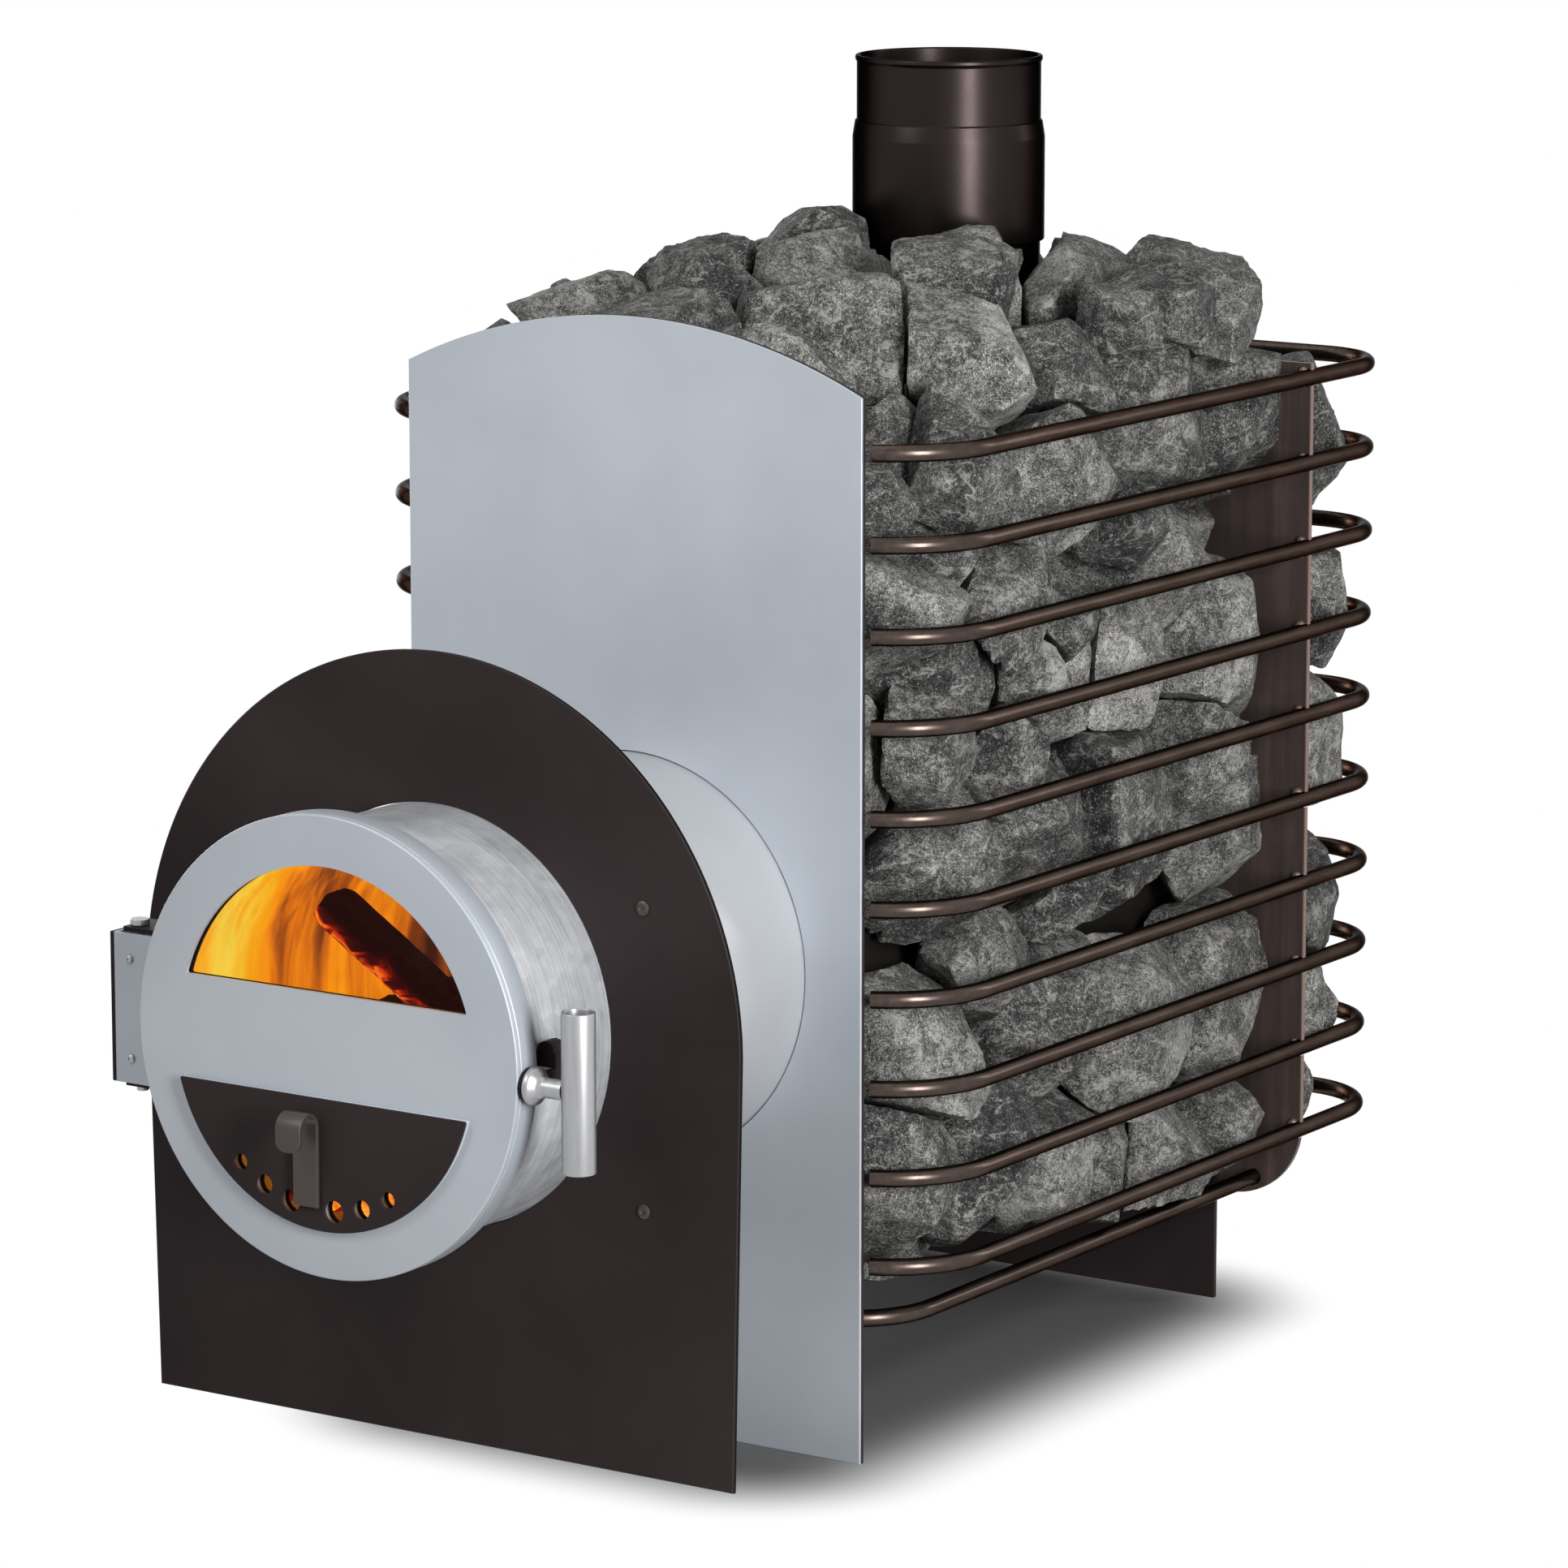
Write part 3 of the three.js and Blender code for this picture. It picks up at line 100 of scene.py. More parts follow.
class Value:
    """An output socket that can be used in sums."""

    def __init__(self, graph, socket):
        self.graph = graph
        self.socket = socket

    def sum(self, operation, first, second):
        return self.graph.node(self.graph.MATH, {"operation": operation}, {0: first, 1: second})

    def __add__(self, other):
        return self.sum("ADD", self, other)

    def __sub__(self, other):
        return self.sum("SUBTRACT", self, other)

    def __mul__(self, other):
        return self.sum("MULTIPLY", self, other)

    def __truediv__(self, other):
        return self.sum("DIVIDE", self, other)

    def __rsub__(self, other):
        return self.sum("SUBTRACT", other, self)

    def __pow__(self, other):
        return self.sum("POWER", self, other)

    def over(self, other):
        return self.sum("MAXIMUM", self, other)

    def under(self, other):
        return self.sum("MINIMUM", self, other)

    def also(self, name):
        """Another output of the same node."""
        return Value(self.graph, self.socket.node.outputs[name])

    __radd__ = __add__
    __rmul__ = __mul__


class Graph:
    """A node tree, filled through one method."""

    MATH = "ShaderNodeMath"

    def __init__(self, tree):
        self.tree = tree

    def node(self, kind, settings=None, sockets=None, out=0):
        made = self.tree.nodes.new(kind)
        for name, value in (settings or {}).items():
            if name == "stops":
                ramp = made.color_ramp
                while len(ramp.elements) < len(value):
                    ramp.elements.new(0.5)
                for element, (place, colour) in zip(ramp.elements, value):
                    element.position = place
                    element.color = (*colour, 1.0) if len(colour) == 3 else colour
            else:
                setattr(made, name, value)
        for name, value in (sockets or {}).items():
            socket = made.inputs[name]
            if isinstance(value, Value):
                self.tree.links.new(value.socket, socket)
            else:
                socket.default_value = value
        if not made.outputs:
            return made
        return Value(self, made.outputs[out])


def shade(level):
    """Linear value of a display grey from 0 to 255."""
    part = level / 255.0
    return part / 12.92 if part <= 0.04045 else ((part + 0.055) / 1.055) ** 2.4


def tint(red, green, blue):
    return (shade(red), shade(green), shade(blue), 1.0)


class Finish(Graph):
    """A procedural material."""

    def __init__(self, name):
        self.material = bpy.data.materials.new(name)
        self.material.use_nodes = True
        super().__init__(self.material.node_tree)
        self.tree.nodes.clear()
        self.place = self.node("ShaderNodeTexCoord", out="Object")

    def stretched(self, scale, turn=(0.0, 0.0, 0.0), shift=(0.0, 0.0, 0.0)):
        sockets = {"Vector": self.place, "Scale": scale, "Rotation": turn, "Location": shift}
        return self.node("ShaderNodeMapping", None, sockets)

    def cloud(self, scale, detail=4.0, rough=0.55, at=None, twist=0.0):
        sockets = {"Vector": at or self.place, "Scale": scale, "Detail": detail, "Roughness": rough}
        sockets["Distortion"] = twist
        return self.node("ShaderNodeTexNoise", None, sockets)

    def cells(self, scale, feature="F1", at=None, out="Distance"):
        return self.node("ShaderNodeTexVoronoi", {"feature": feature}, {"Vector": at or self.place, "Scale": scale}, out)

    def ramp(self, value, *stops):
        return self.node("ShaderNodeValToRGB", {"stops": stops}, {0: value})

    def step(self, value, low, high):
        """0 below low, 1 above high, smooth between."""
        sockets = {"Value": value, "From Min": low, "From Max": high}
        return self.node("ShaderNodeMapRange", {"interpolation_type": "SMOOTHSTEP"}, sockets)

    def mix(self, share, first, second, blend="MIX"):
        settings = {"data_type": "RGBA", "blend_type": blend}
        return self.node("ShaderNodeMix", settings, {0: share, 6: first, 7: second}, 2)

    def axes(self, vector=None):
        split = self.node("ShaderNodeSeparateXYZ", None, {0: vector or self.place})
        return split, split.also("Y"), split.also("Z")

    def bump(self, height, strength, depth):
        return self.node("ShaderNodeBump", None, {"Height": height, "Strength": strength, "Distance": depth})

    def surface(self, **sockets):
        names = {name.replace("_", " "): value for name, value in sockets.items()}
        shader = self.node("ShaderNodeBsdfPrincipled", None, names)
        self.node("ShaderNodeOutputMaterial", None, {"Surface": shader})
        return self


# Finishes


def painted_sheet(name, base, light, dark, grain, rough, metal, gloss, rim=(1.0, 1.0, 1.0, 1.0)):
    """Satin paint on sheet steel: slow cloud of tone, fine grain, a few rubbed places and painted shade on marked
    side faces.
    """
    finish = Finish(name)
    slow = finish.cloud(5.0, 3.0)
    fine = finish.cloud(900.0, 2.0, 0.7)
    rub = finish.step(finish.cloud(38.0, 5.0, 0.7, twist=0.6), 0.58, 0.8)
    tone = finish.mix(finish.step(slow, 0.32, 0.7), dark, light)
    tone = finish.mix(0.45, tone, base)
    flecks = finish.mix(fine * grain, tone, light)
    # Faces marked by this attribute are painted near black: painted shade on a plate's side faces.
    side_shade = finish.node("ShaderNodeAttribute", {"attribute_name": "cut_edge"}, None, "Fac")
    flecks = finish.mix(side_shade, flecks, tint(14, 10, 10))
    normal = finish.bump(fine, 0.05, 0.0004)
    sheen = rough + 0.08 * (finish.cloud(60.0, 3.0) - 0.5) + 0.05 * rub
    return finish.surface(
        Base_Color=flecks,
        Roughness=sheen,
        Metallic=metal,
        Normal=normal,
        Specular_IOR_Level=gloss,
        Specular_Tint=rim,
    )


# The silver paint is bluish grey here and neutral grey in the copy for the firing tunnel: the bluish cast is a
# painted sky reflection, so the two are lit copies of one paint.
silver = painted_sheet(
    "silver_paint", tint(184, 190, 198), tint(196, 202, 209), tint(174, 181, 189), 0.22, 0.42, 0.25, 0.4
)
# Neutral lit copy of the silver paint for the firing tunnel: painted light.
silver_neutral_lit_copy = painted_sheet(
    "tunnel_paint", tint(184, 187, 191), tint(196, 199, 202), tint(174, 177, 182), 0.22, 0.42, 0.25, 0.4
)
brown = painted_sheet(
    "brown_paint", tint(51, 44, 45), tint(62, 54, 55), tint(42, 35, 36), 0.12, 0.46, 0.1, 0.04
)
# A lighter, glossier copy of the brown paint for the plate screws and the air knob: its lighter colour is painted
# highlight that picks these small parts out from the plate.
rubbed_brown = painted_sheet(
    "rubbed_brown", tint(58, 49, 47), tint(74, 64, 61), tint(46, 39, 37), 0.12, 0.4, 0.2, 0.5
)
flue_brown = painted_sheet(
    "flue_paint",
    tint(42, 36, 36),
    tint(48, 41, 41),
    tint(36, 31, 31),
    0.1,
    0.32,
    1.0,
    0.3,
    (0.1, 0.1, 0.1, 1.0),
)
# Dark iron, darkened further so that the firebox seen through the gaps between the stones gives them the black of
# shade: partly the iron's own colour, partly painted shade.
iron_and_gap_shade = painted_sheet(
    "firebox_iron", tint(25, 22, 21), tint(40, 34, 31), tint(15, 14, 13), 0.2, 0.75, 0.3, 0.2
)


def galvanised_sheet():
    """Zinc spangles, grinding marks round the collar and dull patches."""
    finish = Finish("galvanised_sheet")
    wide = finish.cloud(14.0, 6.0, 0.6, twist=1.2)
    spangle = finish.cells(130.0, out="Color")
    crystal = finish.node("ShaderNodeRGBToBW", None, {0: spangle})
    marks = finish.cloud(9.0, 4.0, 0.7, at=finish.stretched((1.0, 60.0, 1.0)))
    tone = finish.ramp(
        wide * 0.46 + crystal * 0.08 + marks * 0.46,
        (0.32, tint(152, 155, 160)[:3]),
        (0.5, tint(194, 196, 200)[:3]),
        (0.66, tint(224, 225, 228)[:3]),
    )
    rough = 0.32 + 0.2 * wide + 0.08 * crystal
    normal = finish.bump(marks * 0.6 + crystal * 0.4, 0.1, 0.0005)
    return finish.surface(Base_Color=tone, Roughness=rough, Metallic=0.3, Normal=normal)


zinc = galvanised_sheet()


def drawn_steel(name, base, light, dark, rough, metal, stretch, rim=(1.0, 1.0, 1.0, 1.0)):
    """Bright bar or tube with drawing marks along it."""
    finish = Finish(name)
    lines = finish.cloud(220.0, 3.0, 0.6, at=finish.stretched(stretch))
    patch = finish.cloud(18.0, 4.0, 0.6)
    tone = finish.mix(lines, dark, light)
    tone = finish.mix(finish.step(patch, 0.4, 0.7) * 0.6, tone, base)
    normal = finish.bump(lines, 0.08, 0.0003)
    return finish.surface(
        Base_Color=tone,
        Roughness=rough + 0.1 * (patch - 0.5),
        Metallic=metal,
        Normal=normal,
        Specular_Tint=rim,
    )


bronze = drawn_steel(
    "bronze_rod",
    tint(74, 64, 60),
    tint(98, 86, 80),
    tint(50, 43, 40),
    0.27,
    1.0,
    (1.0, 0.12, 1.0),
    (0.25, 0.25, 0.25, 1.0),
)
bright = drawn_steel(
    "stainless", tint(166, 167, 169), tint(188, 188, 190), tint(138, 139, 141), 0.36, 0.85, (1.0, 1.0, 0.06)
)
# Light copper for the weld beads at the rib: painted highlight that stands for the bright glints at the weld spots.
weld_painted_glint = drawn_steel(
    "heat_tinted_edge", tint(132, 108, 98), tint(168, 142, 130), tint(92, 75, 68), 0.38, 0.6, (1.0, 1.0, 0.3)
)


def split_stone():
    """Split rock: dark grain with white crystals, pale veins and broken edges, faint rusty stains."""
    finish = Finish("stove_stone")
    each = finish.node("ShaderNodeAttribute", {"attribute_name": "stone_tone"}, None, "Fac")
    edge = finish.node("ShaderNodeAttribute", {"attribute_name": "stone_edge"}, None, "Fac")
    wide = finish.cloud(17.0, 4.0, 0.6, twist=0.5)
    patch = finish.cloud(75.0, 5.0, 0.72, twist=0.8)
    grit = finish.cloud(430.0, 3.0, 0.8)
    grain = finish.cloud(1150.0, 2.0, 0.8)
    crack = finish.cloud(24.0, 3.0, 0.55, at=finish.stretched((1.0, 0.6, 1.5), turn=(0.5, 0.4, 0.2)), twist=1.2)
    vein = 1.0 - finish.step((crack - 0.5) * (crack - 0.5), 0.0, 0.0005)
    crystal = finish.node("ShaderNodeRGBToBW", None, {0: finish.cells(980.0, out="Color")})
    body = 0.16 * wide + 0.24 * patch + 0.22 * grit + 0.38 * grain + 0.12 * (each - 0.5) + 0.04 * edge
    tone = finish.ramp(
        body,
        (0.41, tint(22, 23, 23)[:3]),
        (0.46, tint(54, 55, 55)[:3]),
        (0.51, tint(99, 99, 97)[:3]),
        (0.56, tint(156, 155, 151)[:3]),
        (0.61, tint(210, 209, 204)[:3]),
    )
    pale = finish.step(edge + 0.7 * (patch - 0.5), 0.3, 0.52)
    tone = finish.mix(pale * 0.42, tone, tint(172, 171, 166))
    tone = finish.mix(vein * finish.step(patch, 0.42, 0.56) * 0.5, tone, tint(184, 183, 178))
    white = finish.step(crystal * 0.55 + grit * 0.45, 0.66, 0.78)
    tone = finish.mix(white * 0.5, tone, tint(210, 209, 204))
    warm = finish.step(finish.cloud(7.0, 4.0, 0.6), 0.56, 0.76)
    tone = finish.mix(warm * 0.12, tone, tint(116, 100, 86))
    height = wide * 0.2 + patch * 0.4 + grit * 0.28 + grain * 0.12
    normal = finish.bump(height, 0.9, 0.007)
    return finish.surface(
        Base_Color=tone, Roughness=0.88 - 0.2 * white, Normal=normal, Specular_IOR_Level=0.3
    )


stone = split_stone()


def soot_glass():
    finish = Finish("door_glass")
    smear = finish.cloud(22.0, 5.0, 0.6)
    veil = 0.05 + 0.08 * finish.step(smear, 0.45, 0.8)
    return finish.surface(Base_Color=tint(30, 20, 14), Roughness=0.06 + 0.05 * smear, Alpha=veil)


glass = soot_glass()


def rope_seal():
    """Braided sealing rope."""
    finish = Finish("gasket_rope")
    braid = finish.cells(190.0, at=finish.stretched((1.0, 1.6, 1.0)))
    fluff = finish.cloud(700.0, 3.0, 0.7)
    tone = finish.ramp(braid * 3.2 + fluff * 0.4, (0.1, tint(52, 49, 46)[:3]), (0.8, tint(128, 122, 114)[:3]))
    return finish.surface(Base_Color=tone, Roughness=0.92, Normal=finish.bump(braid + fluff * 0.2, 0.6, 0.002))


rope = rope_seal()


def charred_wood():
    """Charcoal with red seams along the grain, hottest on the side that faces the coals."""
    finish = Finish("charred_wood")
    lie = finish.stretched((0.22, 1.0, 1.0), turn=(0.0, 0.54, 0.0))
    grain = finish.cloud(105.0, 4.0, 0.62, at=lie, twist=0.4)
    blot = finish.cloud(30.0, 4.0, 0.65)
    crack = finish.cells(60.0, "DISTANCE_TO_EDGE", at=finish.stretched((0.5, 1.0, 1.3), turn=(0.0, 0.54, 0.0)))
    heat = finish.node("ShaderNodeAttribute", {"attribute_name": "ember_side"}, None, "Fac")
    low = finish.step(heat + 0.5 * (blot - 0.5), 0.5, 0.82)
    seam = finish.step(grain, 0.43, 0.6).over(1.0 - finish.step(crack, 0.02, 0.12))
    dull = finish.step(blot, 0.5, 0.68) * finish.step(heat, 0.3, 0.6)
    glow = finish.ramp(
        low * (0.2 + 0.7 * seam) + 0.3 * dull,
        (0.0, (0.006, 0.0002, 0.0004)),
        (0.2, (0.05, 0.001, 0.001)),
        (0.45, (0.26, 0.008, 0.002)),
        (0.7, (0.8, 0.06, 0.005)),
        (1.0, (1.0, 0.28, 0.02)),
    )
    tone = finish.mix(grain, tint(6, 1, 2), tint(26, 6, 6))
    normal = finish.bump(crack.under(0.2) * 1.4 + grain * 0.5, 0.8, 0.004)
    return finish.surface(
        Base_Color=tone,
        Roughness=0.9 - 0.1 * blot,
        Normal=normal,
        Specular_IOR_Level=0.04,
        Emission_Color=glow,
        Emission_Strength=1.0,
    )


char = charred_wood()


def live_coals():
    finish = Finish("live_coals")
    x, y, z = finish.axes()
    lump = finish.cloud(46.0, 4.0, 0.6)
    heat = finish.step(lump + 1.6 * x, 0.3, 0.75)
    glow = finish.ramp(
        heat,
        (0.0, (0.06, 0.003, 0.001)),
        (0.35, (0.5, 0.03, 0.004)),
        (0.65, (0.95, 0.22, 0.015)),
        (1.0, (1.0, 0.6, 0.08)),
    )
    tone = finish.mix(lump, tint(18, 12, 10), tint(70, 40, 28))
    return finish.surface(
        Base_Color=tone,
        Roughness=0.9,
        Normal=finish.bump(lump, 0.6, 0.003),
        Emission_Color=glow,
        Emission_Strength=1.0,
    )


coals = live_coals()


def flame():
    """Tall soft tongues of fire, yellow by the door and deeper orange further in."""
    finish = Finish("flame")
    x, y, z = finish.axes()
    tongues = finish.cloud(17.0, 2.0, 0.5, at=finish.stretched((1.5, 1.5, 0.2)), twist=0.5)
    wisps = finish.cloud(48.0, 3.0, 0.55, at=finish.stretched((1.5, 1.5, 0.24), shift=(2, 5, 1)), twist=0.9)
    near = finish.step(y, -0.2, -0.31)
    deep = finish.step(y, -0.11, -0.02)
    level = 0.62 * tongues + 0.34 * wisps + 0.3 * near - 0.16 * deep - 0.35 * (z - 0.39)
    colour = finish.ramp(
        level,
        (0.26, (0.05, 0.006, 0.002)),
        (0.38, (0.3, 0.06, 0.006)),
        (0.47, (0.72, 0.16, 0.005)),
        (0.57, (1.0, 0.29, 0.004)),
        (0.7, (1.0, 0.42, 0.006)),
        (0.84, (1.0, 0.66, 0.05)),
    )
    return finish.surface(
        Base_Color=(0.0, 0.0, 0.0, 1.0), Roughness=1.0, Emission_Color=colour, Emission_Strength=1.0
    )


fire = flame()


# Mesh work


def dress(name, mesh, finish, body, nodes=(), sharp=32.0):
    """A finished piece: smooth shading with crisp folds, a finish, and a body to ride on."""
    mesh.shade_smooth()
    mesh.set_sharp_from_angle(angle=math.radians(sharp))
    mesh.materials.clear()
    mesh.materials.append(finish.material)
    piece = bpy.data.objects.new(name, mesh)
    bpy.context.scene.collection.objects.link(piece)
    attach(piece, body)
    if nodes:
        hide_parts(*nodes)
    return piece


def to_mesh(name, bm, closed=True):
    """Mesh in metres from work in millimetres."""
    bmesh.ops.remove_doubles(bm, verts=bm.verts, dist=0.005)
    if closed:
        bmesh.ops.recalc_face_normals(bm, faces=bm.faces)
    mesh = bpy.data.meshes.new(name)
    bm.to_mesh(mesh)
    bm.free()
    mesh.transform(Matrix.Scale(MM, 4))
    return mesh


def rounded(points, radius, steps=4, closed=True):
    """A polyline with its corners rounded; radius is one number or one for each corner."""
    result = []
    count = len(points)
    for i, point in enumerate(points):
        p = Vector(point)
        r = radius[i] if isinstance(radius, (list, tuple)) else radius
        if r <= 0 or (not closed and i in (0, count - 1)):
            result.append(p)
            continue
        back = Vector(points[i - 1]) - p
        on = Vector(points[(i + 1) % count]) - p
        half = back.angle(on) / 2
        reach = min(r / math.tan(half), 0.49 * back.length, 0.49 * on.length)
        bow = reach * math.tan(half)
        centre = p + (back.normalized() + on.normalized()).normalized() * (bow / math.sin(half))
        first = p + back.normalized() * reach - centre
        last = p + on.normalized() * reach - centre
        for k in range(steps + 1):
            result.append(centre + first.lerp(last, k / steps).normalized() * bow)
    return result


def lathe(bm, profile, axis, centre, sides=96, closed=True):
    """Turns pairs of radius and height about an axis through a centre."""
    rings = []
    for r, h in profile:
        ring = []
        for i in range(1 if r < 1e-6 else sides):
            a = 2 * math.pi * i / sides
            u, v = r * math.cos(a), r * math.sin(a)
            place = {"X": (h, u, v), "Y": (u, h, v), "Z": (u, v, h)}[axis]
            ring.append(bm.verts.new(Vector(place) + Vector(centre)))
        rings.append(ring)
    pairs = list(zip(rings, rings[1:] + rings[:1])) if closed else list(zip(rings, rings[1:]))
    for first, second in pairs:
        for i in range(sides):
            corners = [first[i % len(first)], first[(i + 1) % len(first)]]
            corners += [second[(i + 1) % len(second)], second[i % len(second)]]
            unique = list(dict.fromkeys(corners))
            if len(unique) > 2:
                bm.faces.new(unique)


def circle(r, centre=(0.0, AXIS_Z), sides=96, start=0.0):
    turn = [start + 2 * math.pi * i / sides for i in range(sides)]
    return [(centre[0] + r * math.cos(a), centre[1] + r * math.sin(a)) for a in turn]


def arc(r, start, end, steps, centre=(0.0, AXIS_Z)):
    turn = [math.radians(start + (end - start) * i / steps) for i in range(steps + 1)]
    return [(centre[0] + r * math.cos(a), centre[1] + r * math.sin(a)) for a in turn]


def inset(loop, depth):
    """A loop moved to its own inside; a negative depth moves it out."""
    points = [Vector(p) for p in loop]
    count = len(points)
    area = sum(points[i - 1].x * points[i].y - points[i].x * points[i - 1].y for i in range(count))
    side = 1.0 if area > 0 else -1.0
    result = []
    for i, p in enumerate(points):
        back = (p - points[i - 1]).normalized()
        on = (points[(i + 1) % count] - p).normalized()
        normals = [Vector((-d.y, d.x)) * side for d in (back, on)]
        mitre = (normals[0] + normals[1]).normalized()
        result.append(p + mitre * (depth / max(0.35, mitre.dot(normals[0]))))
    return result


def in_xz(u, v, h):
    return (u, h, v)


def in_xy(u, v, h):
    return (u, v, h)


def plate(bm, loops, low, high, edge=0.5, place=in_xz):
    """Sheet with an outline and holes, between two heights, with eased edges."""
    caps = [[], []]
    for i, loop in enumerate(loops):
        eased = inset(loop, edge if i == 0 else -edge)
        levels = [(low, eased), (low + edge, loop), (high - edge, loop), (high, eased)]
        rows = [[bm.verts.new(place(p[0], p[1], h)) for p in points] for h, points in levels]
        count = len(loop)
        for first, second in zip(rows, rows[1:]):
            for k in range(count):
                bm.faces.new((first[k], first[(k + 1) % count], second[(k + 1) % count], second[k]))
        for cap, row in ((caps[0], rows[0]), (caps[1], rows[-1])):
            cap += [bm.edges.get((row[k], row[(k + 1) % count])) for k in range(count)]
    for cap in caps:
        bmesh.ops.triangle_fill(bm, use_beauty=True, use_dissolve=False, edges=cap)


def block(bm, low, high, edge=0.6):
    """Box with eased edges."""
    corners = [(low[0], low[1]), (high[0], low[1]), (high[0], high[1]), (low[0], high[1])]
    plate(bm, [rounded(corners, edge, 2)], low[2], high[2], edge, in_xy)


# Stage, camera and light

scene = bpy.context.scene
camera = bpy.data.objects.new("camera", bpy.data.cameras.new("camera"))
scene.collection.objects.link(camera)
camera.location = CAMERA_PLACE
camera.rotation_euler = (math.radians(90.0 - CAMERA_TILT), 0.0, math.radians(CAMERA_TURN))
camera.data.sensor_width = CAMERA_SENSOR
camera.data.lens = CAMERA_LENS
camera.data.clip_end = 200.0
scene.camera = camera
scene.view_settings.view_transform = "Standard"


def seen_rays(graph):
    """1 for rays that show the background itself: from the camera, in gloss or through glass."""
    path = graph.node("ShaderNodeLightPath", out="Is Camera Ray")
    return path.over(path.also("Is Glossy Ray")).over(path.also("Is Transmission Ray"))


WORLD_LIGHT = 0.17
# Painted shadow: the floor is dark grey in a box round the basket's footprint and fades outward into the white
# backdrop.
SHADOW_HALF = (0.115, 0.24)
SHADOW_MIDDLE_Y = 0.22
SHADOW_FADE = 0.16
FLOOR_SHADOW_TONE = 0.17
FLOOR_SIZE = 40.0

world = bpy.data.worlds.new("studio")
scene.world = world
world.use_nodes = True
sky = Graph(world.node_tree)
sky.tree.nodes.clear()
sky_strength = seen_rays(sky) * (1.0 - WORLD_LIGHT) + WORLD_LIGHT
glow = sky.node("ShaderNodeBackground", None, {"Color": (1.0, 1.0, 1.0, 1.0), "Strength": sky_strength})
sky.node("ShaderNodeOutputWorld", None, {"Surface": glow})

# The floor under the basket is dark grey paper, so its shade there is partly the lamps' real shadow and partly
# painted shadow; outside the box it turns to white emission for rays that show the background.
floor_finish = Finish("pale_floor")
floor_x, floor_y, floor_z = floor_finish.axes()
beside = ((floor_x * floor_x) ** 0.5 - SHADOW_HALF[0]).over(0.0)
behind = (((floor_y - SHADOW_MIDDLE_Y) * (floor_y - SHADOW_MIDDLE_Y)) ** 0.5 - SHADOW_HALF[1]).over(0.0)
away = (beside * beside + behind * behind) ** 0.5
fade = floor_finish.step(away, 0.0, SHADOW_FADE)
wash = fade * fade * seen_rays(floor_finish)
painted_shadow_paper = floor_finish.node("ShaderNodeBsdfDiffuse", None, {"Color": (FLOOR_SHADOW_TONE, FLOOR_SHADOW_TONE, FLOOR_SHADOW_TONE, 1.0)})
lit = floor_finish.node("ShaderNodeEmission", None, {"Strength": 1.0})
floor_mix = floor_finish.node("ShaderNodeMixShader", None, {0: wash, 1: painted_shadow_paper, 2: lit})
floor_finish.node("ShaderNodeOutputMaterial", None, {"Surface": floor_mix})
floor_mesh = bpy.data.meshes.new("floor")
reach = FLOOR_SIZE / 2
floor_mesh.from_pydata(
    [(-reach, -reach, 0), (reach, -reach, 0), (reach, reach, 0), (-reach, reach, 0)], [], [(0, 1, 2, 3)]
)
floor_mesh.materials.append(floor_finish.material)
floor = bpy.data.objects.new("floor", floor_mesh)
scene.collection.objects.link(floor)


def lamp(name, place, aim, size, power):
    """Soft box that faces a point."""
    light = bpy.data.lights.new(name, "AREA")
    light.shape = "RECTANGLE"
    light.size, light.size_y = size
    light.energy = power
    holder = bpy.data.objects.new(name, light)
    holder.location = place
    holder.rotation_euler = (Vector(aim) - Vector(place)).to_track_quat("-Z", "Y").to_euler()
    scene.collection.objects.link(holder)


lamp("overhead", (-0.4, -0.3, 3.2), (0.0, 0.1, 0.2), (1.8, 1.8), 6.0)
lamp("right_strip", (2.6, -1.25, 1.05), (0.0, 0.1, 0.5), (0.55, 1.7), 94.0)
lamp("front_left", (-0.7, -1.7, 1.8), (0.0, -0.1, 0.5), (0.9, 0.9), 13.0)
lamp("rear_strip", (2.2, 2.7, 1.6), (0.1, 0.3, 0.45), (0.22, 1.7), 14.0)
lamp("rear_left", (-2.6, 1.3, 0.9), (-0.1, 0.3, 0.4), (1.3, 1.3), 34.0)

# Panel and plates


def arch_outline():
    bow = (PANEL_HALF**2 + PANEL_RISE**2) / (2 * PANEL_RISE)
    tilt = math.degrees(math.asin(PANEL_HALF / bow))
    top = PANEL_SHOULDER + PANEL_RISE
    crown = arc(bow, 90 - tilt, 90 + tilt, 64, (0.0, top - bow))
    return [(-PANEL_HALF, 0.0), (PANEL_HALF, 0.0)] + crown


tunnel_hole = circle(TUNNEL_R + 0.6, sides=144)
for node, finish, slot, edge in (
    ("front_panel", silver, "silver_paint", 0.35),
    ("basket_front_plate", brown, "brown_paint", 0.5),
):
    low, high = span(node)
    bm = bmesh.new()
    plate(bm, [arch_outline(), tunnel_hole], low.y, high.y, edge)
    dress(node + "_skin", to_mesh(node + "_skin", bm), finish, "stove", [node])

low, high = span("fire_front_plate")
PLATE_FOOT_HALF = 236.0
bm = bmesh.new()
outline = [(-PLATE_FOOT_HALF, low.z), (PLATE_FOOT_HALF, low.z)] + arc(high.x, 0, 180, 96)
plate(bm, [outline, tunnel_hole], low.y, high.y, 0.7)
mesh = to_mesh("fire_front_skin", bm)
# The plate's side faces are marked for painted shade: the paint turns them near black.
cut_edge = mesh.attributes.new("cut_edge", "FLOAT", "FACE")
cut_edge.data.foreach_set("value", [float(abs(face.normal.y) < 0.35) for face in mesh.polygons])
dress("fire_front_skin", mesh, brown, "stove", ["fire_front_plate"])

# Tunnel, collar and lid


def tube_profile(outer, inner, low, high, edge):
    return rounded([(outer, low), (outer, high), (inner, high), (inner, low)], edge, 3)


